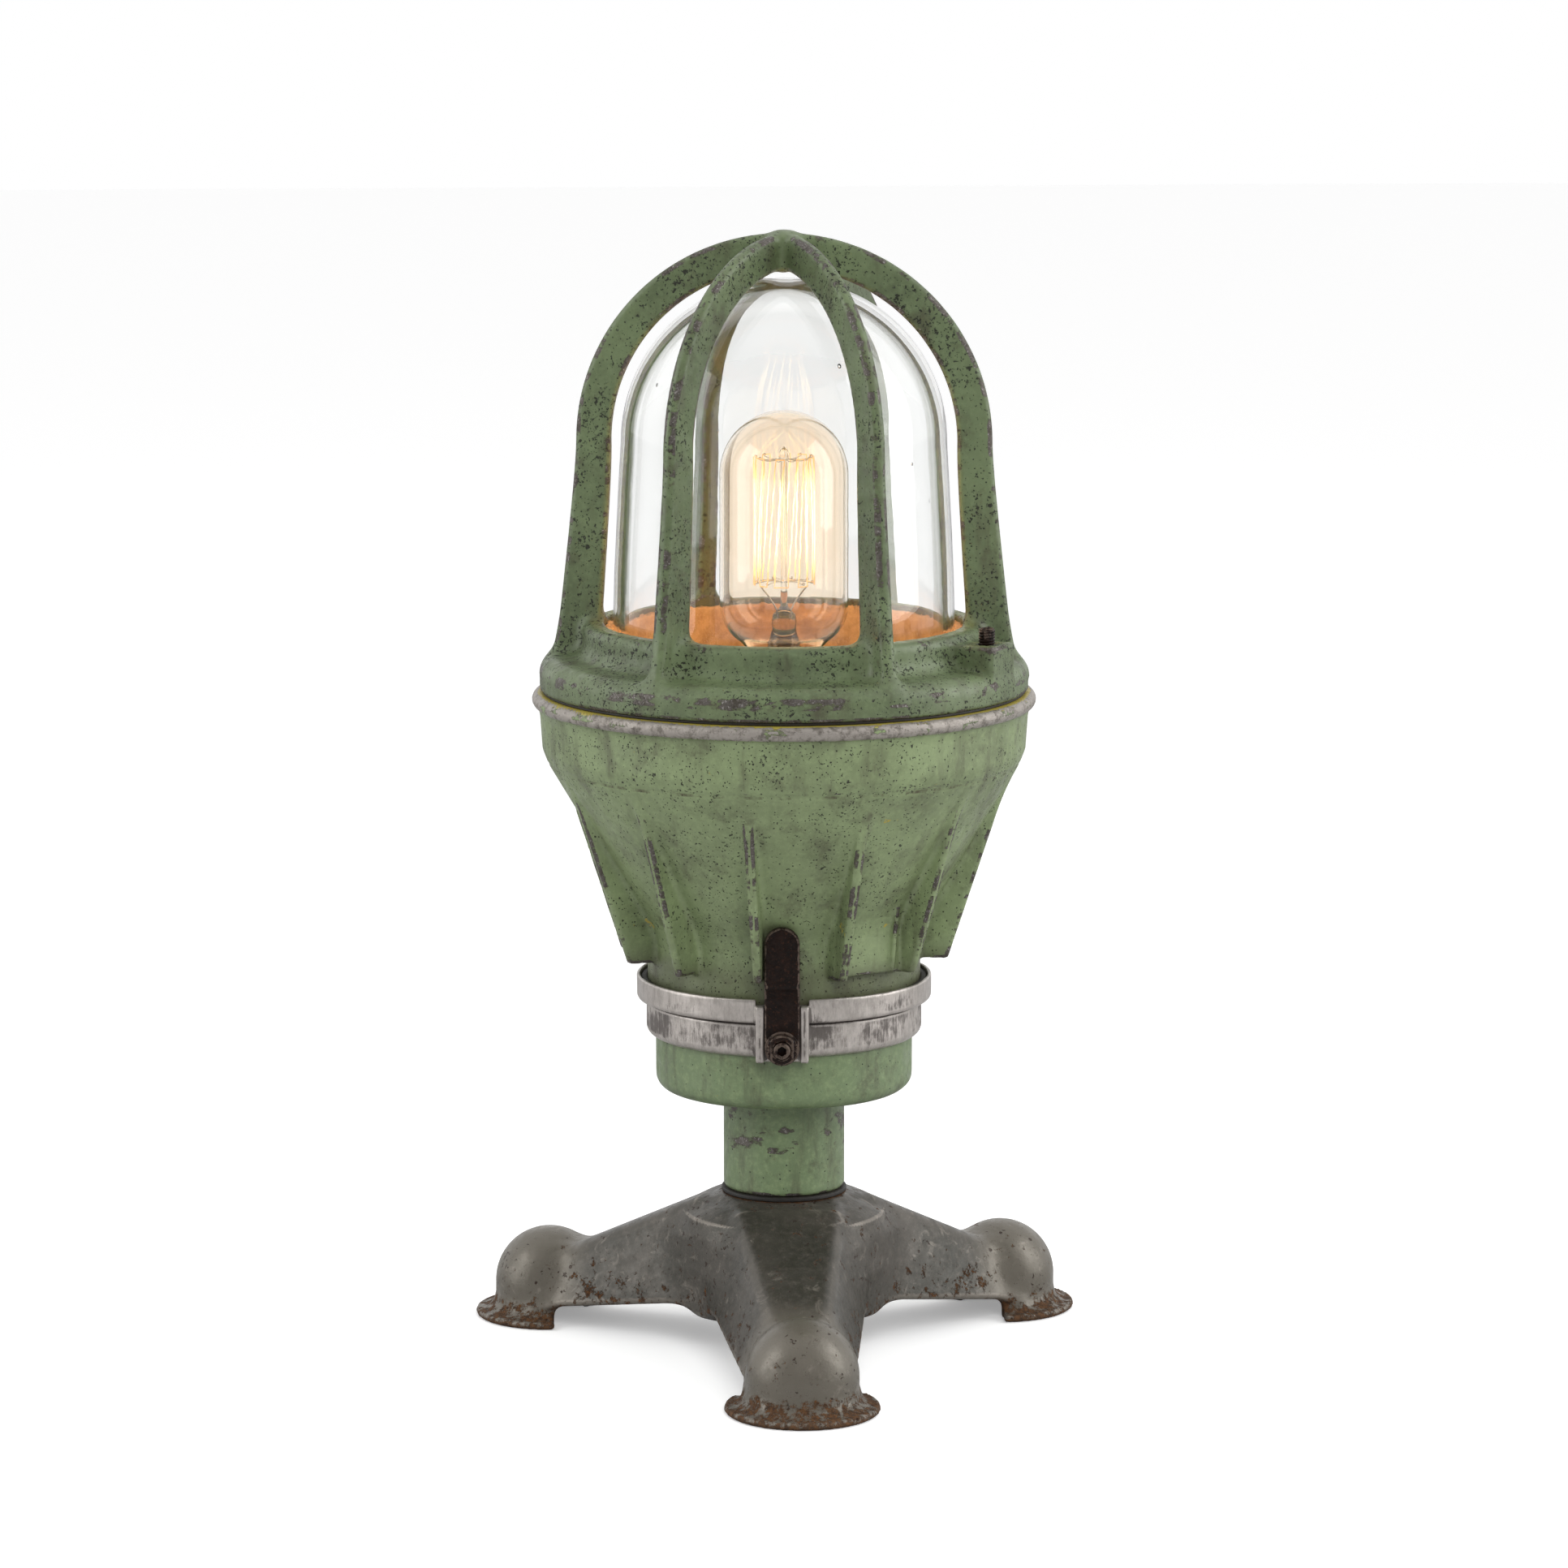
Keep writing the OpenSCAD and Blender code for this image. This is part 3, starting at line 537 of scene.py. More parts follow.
def base_distance(p):
    z = p[:, 2]
    body = base_solid(p, 0)
    hollow = base_solid(p + (0, 0, 6), 5)
    feet = None
    for azimuth in LEG_AZ:
        out, across, _ = around(p, azimuth)
        foot = foot_distance(out, across, z)
        well = np.sqrt((out - FOOT_CIRCLE) ** 2 + across**2 + np.maximum(z - 9, 0) ** 2) - 14.5
        feet = foot if feet is None else np.minimum(feet, foot)
        hollow = np.minimum(hollow, well)
    body = smooth_min(body, feet, 4.5)
    radius = axis_distance(p)
    hollow = np.minimum(hollow, np.maximum(radius - 22, z - HUB_TOP + 14))
    body = smooth_max(body, -hollow, 1.0)
    return np.maximum(np.maximum(body, BORE_R - radius), -z)


# ---- Stem, cup and collar ----

CUP_EDGE = 5.0
CHANNEL = 12.7
LUG_WIDTH = 18.3
LUG_FACE = 49.8
STUD_Z = COLLAR_FOOT + 4.6
STUD_R = 3.0
STRAP_WIDTH = 12.3
STRAP_T = 3.0
STRAP_STEP = 3.6
STRAP_TOP = high("latch_strap")[2]


def stem_distance(p):
    tube = ringed(p, -STEM_R, STEM_R, STEM_FOOT, STEM_TOP, 1.5) + 0.10 * lumps(p, 15, 3)
    tube = np.maximum(tube, -ringed(p, -BORE_R, BORE_R, STEM_FOOT - 5, STEM_TOP + 5, 0))
    return np.maximum(tube, -ringed(p, -STEM_R + 3.6, STEM_R - 3.6, STEM_FOOT + 5, STEM_TOP - 5, 2))


def cup_distance(p):
    e = 0.5
    foot, top = STEM_TOP, high("junction_cup")[2]
    outline = (
        [(BORE_R, foot + e)]
        + arc((CUP_R - CUP_EDGE, foot + CUP_EDGE), CUP_EDGE - e, 270, 360, 8)
        + [(CUP_R - e, top - e), (CUP_R - 5 + e, top - e), (CUP_R - 5 + e, foot + 6 - e)]
        + [(BORE_R, foot + 6 - e)]
    )
    return turned(p, outline, e) + 0.10 * lumps(p, 22, 1)


def collar_outline():
    """Two tiers outside; inside, a recess for the gasket, a seat for the bowl and a bore for the cup."""
    gap_z = COLLAR_TOP - 8.5
    lower_r = COLLAR_R - 3.4
    return (
        [(CUP_R, COLLAR_FOOT)]
        + arc((lower_r - 3.2, COLLAR_FOOT + 3.2), 3.2, 275, 360, 6)
        + [(lower_r, gap_z - 1.1), (lower_r - 0.3, gap_z - 0.8), (lower_r - 0.9, gap_z - 0.8)]
        + [(lower_r - 0.9, gap_z)]
        + arc((COLLAR_R - 1.5, gap_z + 1.5), 1.5, 275, 360, 5)
        + arc((COLLAR_R - 0.7, COLLAR_TOP - 0.7), 0.7, 0, 90, 4)
        + [(COLLAR_R - 1.2, COLLAR_TOP - 0.1), (COLLAR_R - 1.4, SEAL_Z)]
        + [(SPIGOT_R, SEAL_Z), (SPIGOT_R, SPIGOT_Z), (40, SPIGOT_Z)]
        + [(40, SPIGOT_Z - 2), (CUP_R, SPIGOT_Z - 2)]
    )


def collar_distance(p):
    out, across, z = around(p, LATCH_AZ)
    ring = turned(p, collar_outline()) + 0.07 * lumps(p, 9, 2)
    notch = round_box(out - 54, across, 5.5, LUG_WIDTH / 2, 0)
    ring = np.maximum(ring, -np.maximum(notch, COLLAR_TOP - 2.3 - z))
    lug = round_box(out - 49.8, across, 2.6, LUG_WIDTH / 2, 0.7)
    lug = smooth_max(lug, np.abs(z - COLLAR_TOP + 12.2) - 9.9, 0.8)
    lug = np.maximum(lug, -ringed(p, -48.2, 48.2, SEAL_Z, COLLAR_TOP + 9, 0))
    body = smooth_min(ring, lug, 0.6)
    channel = round_box(out - LUG_FACE - 5, across, 5, CHANNEL / 2, 0)
    body = smooth_max(body, -channel, 0.4)
    return np.maximum(body, -np.maximum(np.hypot(across, z - STUD_Z) - STUD_R, 40 - out))


def gasket_distance(p):
    out, across, _ = around(p, LATCH_AZ)
    ring = ringed(p, NECK_R, COLLAR_R - 1.4, SEAL_Z, COLLAR_TOP - 1.0, 0.7)
    return np.maximum(ring, -round_box(out - 54, across, 8, LUG_WIDTH / 2, 0))


# ---- Latch ----


def strap_line(out, z):
    """Distance from the middle of the strap's thickness, seen from its side."""
    foot = LUG_FACE + STRAP_T / 2
    head = foot + STRAP_STEP
    points = [(foot, 90), (foot, COLLAR_TOP + 0.2), (head, COLLAR_TOP + 5.9), (head, STRAP_TOP + 20)]
    best = np.full(out.shape, 1e9)
    for (x0, z0), (x1, z1) in zip(points[:-1], points[1:]):
        dx, dz = x1 - x0, z1 - z0
        t = np.clip(((out - x0) * dx + (z - z0) * dz) / (dx * dx + dz * dz), 0, 1)
        best = smooth_min(best, np.hypot(out - x0 - dx * t, z - z0 - dz * t), 0.8)
    return best


def strap_distance(p):
    out, across, z = around(p, LATCH_AZ)
    end = STRAP_WIDTH / 2
    side = strap_line(out, z) - STRAP_T / 2 - 0.12
    spine = np.clip(z, STUD_Z, STRAP_TOP - end)
    face = np.hypot(across, z - spine) - end + 0.05
    plate = smooth_max(side, face, 0.9) + 0.05 * lumps(p, 5, 6)
    return smooth_max(plate, STUD_R + 0.1 - np.hypot(across, z - STUD_Z), 0.4)


def washer_distance(p):
    out, across, z = around(p, LATCH_AZ)
    face = LUG_FACE + STRAP_T
    disc = rod(across, z - STUD_Z, out, 6.0, face, face + 0.8, 0.3)
    return np.maximum(disc, STUD_R + 0.1 - np.hypot(across, z - STUD_Z))


def nut_distance(p):
    out, across, z = around(p, LATCH_AZ)
    face = LUG_FACE + STRAP_T + 0.8
    body = rod(across, z - STUD_Z, out, 5.35, face, face + 3.4, 0.7)
    flats = np.maximum(np.abs(across) - 4, out - face - 3.4)
    body = np.where(out > face + 1.6, smooth_max(body, flats, 0.5), body)
    return smooth_max(body, STUD_R + 0.05 - np.hypot(across, z - STUD_Z), 0.5)


def socket(a, b, radius):
    """Distance to a hexagon socket of an inscribed radius."""
    sides = [a * math.cos(t) + b * math.sin(t) for t in (0.0, math.pi / 3, 2 * math.pi / 3)]
    return np.max(np.abs(sides), axis=0) - radius


def threaded(a, b, c, radius, pitch, depth):
    """Distance to a threaded bar along c, its crests and roots slightly rounded."""
    turn = (c / pitch - np.arctan2(b, a) / (2 * math.pi)) % 1.0
    groove = np.abs(turn - 0.5) * 2
    return (np.hypot(a, b) - radius + depth * smooth_max(groove, np.full_like(groove, 0.12), 0.1)) * 0.8


def stud_distance(p):
    out, across, z = around(p, LATCH_AZ)
    inner, outer = CUP_R + 0.4, LUG_FACE + 8.6
    bar = threaded(across, z - STUD_Z, out, STUD_R, 1.0, 0.42)
    bar = smooth_max(bar, np.abs(out - (inner + outer) / 2) - (outer - inner) / 2, 0.6)
    hole = np.maximum(socket(across, z - STUD_Z, 1.5), outer - 3 - out)
    return smooth_max(bar, -hole, 0.3)


# ---- Lock screw, cement and seals ----

LOCK_FOOT = low("lock_screw")[2]
LOCK_TOP = high("lock_screw")[2]


def lock_screw_distance(p):
    out, across, z = around(p, BOSS_AZ)
    out = out - LOCK_R
    bar = threaded(out, across, z, 2.95, 1.0, 0.5)
    ends = np.abs(z - (LOCK_FOOT + LOCK_TOP) / 2) - (LOCK_TOP - LOCK_FOOT) / 2
    bar = smooth_max(bar, ends, 0.7)
    hole = np.maximum(socket(out, across, 1.5), LOCK_TOP - 3.5 - z)
    pivot = np.maximum(np.hypot(out, across) - 1.05, z - LOCK_FOOT - 2)
    return smooth_max(smooth_max(bar, -hole, 0.3), -pivot, 0.1)


def cement_distance(p):
    """Cement packed by hand between the globe and the ring, its top rough and dished."""
    top = high("globe_cement")[2]
    ring = ringed(p, GLOBE_R, NECK_IN, GLOBE_FOOT, top + 2, 0)
    radius = axis_distance(p)
    dish = (radius - (GLOBE_R + NECK_IN) / 2) ** 2 * 0.3
    crest = top - 0.9 + dish + 0.35 * lumps(p, 5, 2) + 0.2 * lumps(p, 2, 7)
    return np.maximum(ring, (p[:, 2] - crest) * 0.8)


def seal_outline():
    outer, inner = FLANGE_R - 0.8, 81
    return rounded([(inner, RIM, 0.3), (outer, RIM, 0.4), (outer, FLANGE, 0.4), (inner, FLANGE, 0.3)])


def seat_washer_outline():
    outer = STEM_R + 0.8
    foot = [(BORE_R, HUB_TOP, 0.2), (outer, HUB_TOP, 0.5)]
    return rounded(foot + [(outer, STEM_FOOT, 0.6), (BORE_R, STEM_FOOT, 0.2)])


# ---- Turned and drawn pieces ----


def rounded(corners, n=5):
    """Closed outline through corners of (x, y, radius), each with its corner rounded."""
    outline = []
    for before, here, after in zip(corners[-1:] + corners[:-1], corners, corners[1:] + corners[:1]):
        corner = np.array(here[:2], float)
        a = np.array(before[:2]) - corner
        b = np.array(after[:2]) - corner
        a /= np.linalg.norm(a)
        b /= np.linalg.norm(b)
        reach = here[2] / math.tan(math.acos(np.clip(a @ b, -1, 1)) / 2)
        for t in np.linspace(0, 1, n + 1):
            point = corner + a * reach * (1 - t) ** 2 + b * reach * t**2
            outline.append(tuple(point))
    return outline


def lathe(outline, count=160, wave=0.0):
    """Vertices and faces of [radius, height] points turned round the upright axis.

    An outline that starts on the axis is closed by its two poles, any other by its first point.
    """
    points = np.array(outline, float)
    poles = points[0, 0] == 0
    rows = points[1:-1] if poles else points
    angle = np.arange(count) * 2 * math.pi / count
    ripple = 1 + wave * np.sin(3 * angle + rows[:, 1:] / 13) * np.sin(2 * angle - rows[:, 1:] / 31)
    x = rows[:, :1] * np.cos(angle) * ripple
    y = rows[:, :1] * np.sin(angle) * ripple
    z = np.repeat(rows[:, 1:], count, 1)
    vertices = np.stack([x, y, z], -1).reshape(-1, 3)
    i = np.arange(len(rows) - 1 if poles else len(rows))[:, None] * count
    j = np.arange(count)[None, :]
    k = (j + 1) % count
    n = (i + count) % (len(rows) * count)
    faces = np.stack([i + j, i + k, n + k, n + j], -1).reshape(-1, 4).tolist()
    if poles:
        pole = len(vertices)
        last = (len(rows) - 1) * count
        ends = [(0, 0, points[0, 1]), (0, 0, points[-1, 1])]
        vertices = np.concatenate([vertices, ends])
        faces += [(pole, (s + 1) % count, s) for s in range(count)]
        faces += [(last + s, last + (s + 1) % count, pole + 1) for s in range(count)]
    return vertices, faces


def tube(path, radius, sides=10, closed=False):
    """Vertices and faces of a round wire along a path, capped unless it closes on itself."""
    path = np.array(path, float)
    along = np.roll(path, -1, 0) - np.roll(path, 1, 0) if closed else np.gradient(path, axis=0)
    along /= np.linalg.norm(along, axis=1)[:, None]
    side = np.cross(along[0], (0.31, 0.52, 0.79))
    angle = np.arange(sides)[:, None] * 2 * math.pi / sides
    rows = []
    for point, ahead in zip(path, along):
        side = side - ahead * (side @ ahead)
        side = side / np.linalg.norm(side)
        rows.append(point + radius * (np.cos(angle) * side + np.sin(angle) * np.cross(ahead, side)))
    count = len(path)
    faces = []
    for i in range(count if closed else count - 1):
        n = (i + 1) % count
        for j in range(sides):
            k = (j + 1) % sides
            faces.append((i * sides + j, i * sides + k, n * sides + k, n * sides + j))
    if not closed:
        faces.append(tuple(range(sides))[::-1])
        faces.append(tuple((count - 1) * sides + j for j in range(sides)))
    return np.concatenate(rows), faces


def joined(shapes):
    """One set of vertices and faces from several."""
    vertices, faces, first = [], [], 0
    for part, part_faces in shapes:
        vertices.append(part)
        faces += [tuple(first + q for q in face) for face in part_faces]
        first += len(part)
    return np.concatenate(vertices), faces


def made(node, shape):
    """Puts a mesh made of vertices and faces in place of a CAD node."""
    vertices, faces = shape
    return stand_in(new_mesh(node + "_piece", vertices, faces), node)


# ---- Globe ----

GLOBE_WALL = 4.0
GLOBE_DOME_R = GLOBE_R - 3
BUBBLES = ((20, 352, 0.7), (-62, 344, 0.5), (48, 318, 0.45), (-28, 331, 0.4), (100, 300, 0.6))


def globe_side(inset):
    """Outline of one side of the globe wall from foot to pole."""
    dome = GLOBE_TOP - GLOBE_DOME_R
    foot_z = GLOBE_FOOT + 2
    bend_z = foot_z + 18
    side = [(GLOBE_R - inset, foot_z), (GLOBE_R - inset, bend_z)]
    for t in (0.25, 0.5, 0.75):
        side.append((GLOBE_R - inset - 3 * t**1.3, bend_z + (dome - bend_z) * t))
    return side + arc((0, dome), GLOBE_DOME_R - inset, 0, 89.9, 40)[:-1] + [(0, GLOBE_TOP - inset)]


def bubble(azimuth, z, r):
    """A gas bubble inside the wall, with its faces turned inwards."""
    angle = math.radians(azimuth - 90)
    dome = GLOBE_TOP - GLOBE_DOME_R
    wall_r = GLOBE_DOME_R - GLOBE_WALL / 2
    out = math.sqrt(max(wall_r**2 - max(z - dome, 0) ** 2, 0))
    ball, faces = lathe([(0, -r)] + arc((0, 0), r, -75, 75, 8) + [(0, r)], 16)
    centre = (out * math.cos(angle), out * math.sin(angle), z)
    return ball * (1, 1, 1.3) + centre, [tuple(face)[::-1] for face in faces]


def build_globe():
    inner = globe_side(GLOBE_WALL)[::-1]
    foot_mid = GLOBE_R - GLOBE_WALL / 2
    foot = arc((foot_mid, GLOBE_FOOT + 2), GLOBE_WALL / 2, 200, 340, 8)
    shell = lathe(inner + foot + globe_side(0), 224, 0.0012)
    return made("globe", joined([shell] + [bubble(*spot) for spot in BUBBLES]))


# ---- Bulb ----

BULB_WALL = 0.9
CAP_R = high("bulb_cap")[0] - 0.2
CAP_ROOT = CAP_R - 0.7
CAP_PITCH = 3.63
NECK_BULB = CAP_ROOT - 0.5
BULB_FOOT = high("bulb_cap")[2]
FILAMENT_R = 11.0
STRANDS = 18


def bulb_side(inset):
    """Outline of one side of the bulb glass: neck, flared shoulder, straight side and round end."""
    neck = NECK_BULB - inset
    shoulder = arc((BULB_R - 15, BULB_FOOT + 17), 15 - inset, -50, 0, 14)
    out, up = shoulder[0][0] - neck, shoulder[0][1] - BULB_FOOT
    flare = [(neck + out * t**1.7, BULB_FOOT + t * up) for t in (0.0, 0.2, 0.4, 0.6, 0.8)]
    crown = arc((0, BULB_TOP - BULB_R), BULB_R - inset, 0, 89.9, 28)[:-1]
    return [(neck, GLASS_FOOT)] + flare + shoulder + crown + [(0, BULB_TOP - inset)]


def build_bulb_glass():
    return made("bulb_glass", lathe(bulb_side(BULB_WALL)[::-1] + bulb_side(0), 160, 0.0015))


def stem_press_shape():
    """Flared glass foot of the bulb, its pressed waist and the rod that carries the filament."""
    rod_top = FILAMENT_HIGH + 3
    flare = [(0, 0), (NECK_BULB - 1.6, 0), (NECK_BULB - 1.3, 1), (8.2, 4), (5.4, 8)]
    waist = [(4.2, 12), (4.4, 15), (4.0, 17.5), (2.2, 19.2), (1.3, 20.5), (1.15, 26)]
    button = [(1.15, 5), (1.9, 4), (1.9, 2.5), (1.2, 1.2), (0, 0)]
    foot = [(r, GLASS_FOOT + rise) for r, rise in flare + waist]
    return lathe(foot + [(r, rod_top - drop) for r, drop in button], 48)


def strand(i, z0, z1, n=26):
    """One length of filament between its hooks, slightly slack and coiled."""
    angle = 2 * math.pi * i / STRANDS + 0.05 * math.sin(i * 2.3)
    t = np.linspace(0, 1, n)
    sag = np.sin(math.pi * t)
    r = FILAMENT_R + sag * 0.35 * math.sin(i * 1.9) - 0.35
    lean = (t - 0.5) * 0.34 * math.sin(i * 2.7 + 1)
    turn = angle + lean + sag * 0.045 * math.sin(i * 3.1 + 0.5) + 0.012 * np.sin(t * 34 + i)
    return np.stack([r * np.cos(turn), r * np.sin(turn), z0 + (z1 - z0) * t], 1)


def build_filament():
    """One long wire zigzagging between the lower and upper hooks."""
    path = []
    for i in range(STRANDS):
        ends = (FILAMENT_LOW + 0.6, FILAMENT_HIGH - 0.6)
        path.append(strand(i, *(ends if i % 2 == 0 else ends[::-1])))
    return made("filament", tube(np.concatenate(path), 0.24, 7))


def hook(i, z, up):
    """A support wire from the rod to one turn of the filament, with a small curl at its end."""
    angle = 2 * math.pi * (i + 0.5) / STRANDS
    reach = FILAMENT_R - 1.1
    t = np.linspace(0, 1, 12)
    r = 1.0 + (reach - 1.0) * t
    rise = up * (2.6 * t**2 - 2.4 * t)
    line = np.stack([r * math.cos(angle), r * math.sin(angle), z + rise], 1)
    curl = np.linspace(0, 5, 9)
    curl_r = reach + 0.45 * np.sin(curl)
    curl_z = line[-1, 2] + 0.45 * (1 - np.cos(curl))
    ring = np.stack([curl_r * math.cos(angle), curl_r * math.sin(angle), curl_z], 1)
    return tube(np.concatenate([line, ring[1:]]), 0.16, 6)


def build_supports():
    """Hooks at both ends of the filament and the two lead wires from the press to its ends."""
    shapes = []
    for i in range(0, STRANDS, 2):
        shapes.append(hook(i, FILAMENT_HIGH - 1.2, 1))
        shapes.append(hook(i + 1, FILAMENT_LOW + 1.2, -1))
    for side in (-1, 1):
        t = np.linspace(0, 1, 12)
        x = side * (1.6 + 6.8 * t**1.5)
        y = side * 1.2 * np.sin(t * 3)
        z = GLASS_FOOT + 16 + (FILAMENT_LOW - GLASS_FOOT - 16) * t
        shapes.append(tube(np.stack([x, y, z], 1), 0.28, 8))
    return made("filament_supports", joined(shapes))


def cap_distance(p):
    """Screw cap rolled from thin brass, with its round thread."""
    z = p[:, 2]
    turn = z / CAP_PITCH - np.arctan2(p[:, 1], p[:, 0]) / (2 * math.pi)
    wave = 0.5 - 0.5 * np.cos(turn * 2 * math.pi)
    foot = low("bulb_cap")[2]
    fade = np.clip((BULB_FOOT - 2 - z) / 2.5, 0, 1) * np.clip((z - foot - 0.6) / 2, 0, 1)
    radius = axis_distance(p)
    outer = CAP_ROOT + (CAP_R - CAP_ROOT) * wave * fade
    outer = outer + np.where(z > BULB_FOOT - 2.5, 0.6, 0.0)
    shell = smooth_max(radius - outer, np.abs(z - (foot + BULB_FOOT) / 2) - (BULB_FOOT - foot) / 2, 0.5)
    shell = np.maximum(shell, -np.maximum(radius - NECK_BULB, foot + 1 - z))
    return np.maximum(shell, 8 - radius)


def build_spring():
    """Coil spring under the plunger's head."""
    foot, top = low("plunger_spring")[2], high("plunger_spring")[2]
    coils = round((top - foot) / 0.86)
    t = np.linspace(0, 1, coils * 24)
    angle = t * coils * 2 * math.pi
    z = foot + 0.38 + (top - foot - 0.76) * t
    return made("plunger_spring", tube(np.stack([3.4 * np.cos(angle), 3.4 * np.sin(angle), z], 1), 0.37, 8))


# ---- Node helpers ----


class Nodes:
    """A material's node tree, with one short method for each kind of step."""

    def __init__(self, name):
        self.material = bpy.data.materials.new(name)
        self.material.use_nodes = True
        self.tree = self.material.node_tree
        self.tree.nodes.clear()
        self.here = self.place()

    def add(self, kind, inputs=None, **settings):
        node = self.tree.nodes.new(kind)
        for key, value in settings.items():
            setattr(node, key, value)
        for key, value in (inputs or {}).items():
            socket = node.inputs[key]
            if isinstance(value, bpy.types.NodeSocket):
                self.tree.links.new(value, socket)
            else:
                socket.default_value = value
        return node

    def place(self):
        """Position on the object in millimetres."""
        at = self.add("ShaderNodeTexCoord").outputs["Object"]
        return self.add("ShaderNodeVectorMath", {0: at, "Scale": 1000.0}, operation="SCALE").outputs[0]

    def stretched(self, x, y, z, at=None):
        inputs = {0: at or self.here, 1: (x, y, z)}
        return self.add("ShaderNodeVectorMath", inputs, operation="MULTIPLY").outputs[0]

    def shifted(self, x, y, z):
        return self.add("ShaderNodeVectorMath", {0: self.here, 1: (x, y, z)}, operation="ADD").outputs[0]

    def unrolled(self, radius):
        """Position unrolled round the upright axis: (arc length, radius, height)."""
        parts = self.add("ShaderNodeSeparateXYZ", {0: self.here}).outputs
        along = self.times(self.math("ARCTAN2", parts[1], parts[0]), radius)
        return self.add("ShaderNodeCombineXYZ", {0: along, 1: self.out(), 2: parts[2]}).outputs[0]

    def out(self):
        """Distance from the upright axis in millimetres."""
        parts = self.add("ShaderNodeSeparateXYZ", {0: self.here}).outputs
        squares = self.plus(self.times(parts[0], parts[0]), self.times(parts[1], parts[1]))
        return self.math("POWER", squares, 0.5)

    def height(self):
        return self.add("ShaderNodeSeparateXYZ", {0: self.here}).outputs[2]

    def belt(self, foot, top, soft=1.0):
        """1 between two heights, fading out over soft millimetres outside them."""
        z = self.height()
        rise = self.ramp(z, foot - soft, foot)
        return self.times(rise, self.ramp(z, top, top + soft, 1.0, 0.0))

    def noise(self, size, detail=4.0, rough=0.55, at=None, twist=0.0):
        """Noise whose features are about size millimetres across."""
        inputs = {"Vector": at or self.here, "Scale": 1.0 / size, "Detail": detail,
                  "Roughness": rough, "Distortion": twist}
        return self.add("ShaderNodeTexNoise", inputs).outputs["Fac"]

    def cells(self, size, at):
        return self.add("ShaderNodeTexVoronoi", {"Vector": at, "Scale": 1.0 / size}).outputs

    def math(self, operation, a, b=0.0, clamp=False):
        node = self.add("ShaderNodeMath", {0: a, 1: b}, operation=operation, use_clamp=clamp)
        return node.outputs[0]

    def plus(self, first, *others, clamp=False):
        for other in others:
            first = self.math("ADD", first, other, clamp)
        return first

    def minus(self, a, b):
        return self.math("SUBTRACT", a, b)

    def times(self, a, b, clamp=False):
        return self.math("MULTIPLY", a, b, clamp)

    def most(self, a, b):
        return self.math("MAXIMUM", a, b)

    def ramp(self, value, low, high, to_low=0.0, to_high=1.0, smooth=True):
        """Value mapped from low..high to to_low..to_high, held at both ends."""
        inputs = {"Value": value, "From Min": low, "From Max": high, "To Min": to_low, "To Max": to_high}
        kind = "SMOOTHSTEP" if smooth else "LINEAR"
        return self.add("ShaderNodeMapRange", inputs, interpolation_type=kind, clamp=True).outputs[0]

    def mix(self, share, a, b):
        """Colour a where share is 0, colour b where it is 1."""
        inputs = {0: share, 6: self.colour(a), 7: self.colour(b)}
        return self.add("ShaderNodeMix", inputs, data_type="RGBA").outputs[2]

    def colour(self, value):
        if isinstance(value, tuple) and len(value) == 3:
            return (*value, 1.0)
        return value

    def attribute(self, name):
        return self.add("ShaderNodeAttribute", attribute_name=name).outputs["Fac"]

    def crevice(self, reach):
        """How enclosed a point is within reach millimetres: 0 open, 1 enclosed."""
        seen = self.add("ShaderNodeAmbientOcclusion", {"Distance": reach * MM}, samples=4).outputs["AO"]
        return self.minus(1.0, seen)

    def soft_edges(self, r):
        """Normal that rounds sharp edges by r millimetres."""
        return self.add("ShaderNodeBevel", {"Radius": r * MM}, samples=4).outputs[0]

    def bump(self, height, depth, normal=None):
        """Surface relief; depth is in millimetres for a height of 1."""
        inputs = {"Height": height, "Distance": depth * MM, "Strength": 1.0}
        if normal is not None:
            inputs["Normal"] = normal
        return self.add("ShaderNodeBump", inputs).outputs[0]

    def finish(self, **inputs):
        named = {key.replace("_", " "): self.colour(value) for key, value in inputs.items()}
        shader = self.add("ShaderNodeBsdfPrincipled", named)
        self.add("ShaderNodeOutputMaterial", {"Surface": shader.outputs[0]})
        return self.material


def dress(obj, material):
    """Gives every face of an object one material."""
    obj.data.materials.clear()
    obj.data.materials.append(material)
    return obj


# ---- Materials ----

METAL_DARK = (0.110, 0.098, 0.087)
METAL_RIM = (0.34, 0.31, 0.28)
PRIMER = (0.33, 0.27, 0.045)
METAL_GLINT = (0.46, 0.44, 0.42)
# Grime colour, also used for painted shade in corners and round the bowl's neck.
GRIME_AND_SHADE = (0.045, 0.036, 0.022)
PIT_BLACK = (0.012, 0.011, 0.009)
SEAM_DIRT = (0.040, 0.024, 0.014)
GREEN = (0.198, 0.252, 0.124)
GREEN_DARK = (0.140, 0.176, 0.086)
LOWER_GREEN = (0.122, 0.172, 0.086)
RIB_GREEN = (0.116, 0.153, 0.074)
RIB_GREEN_DARK = (0.076, 0.100, 0.048)
IRON = (0.075, 0.067, 0.056)
IRON_DARK = (0.040, 0.038, 0.030)
# Foot tone: browner iron, made lighter as a painted highlight on the domes.
IRON_FOOT_AND_HIGHLIGHT = (0.168, 0.151, 0.122)
IRON_RUBBED = (0.27, 0.24, 0.205)
RUST_DARK = (0.026, 0.011, 0.005)
RUST_LIGHT = (0.130, 0.054, 0.016)


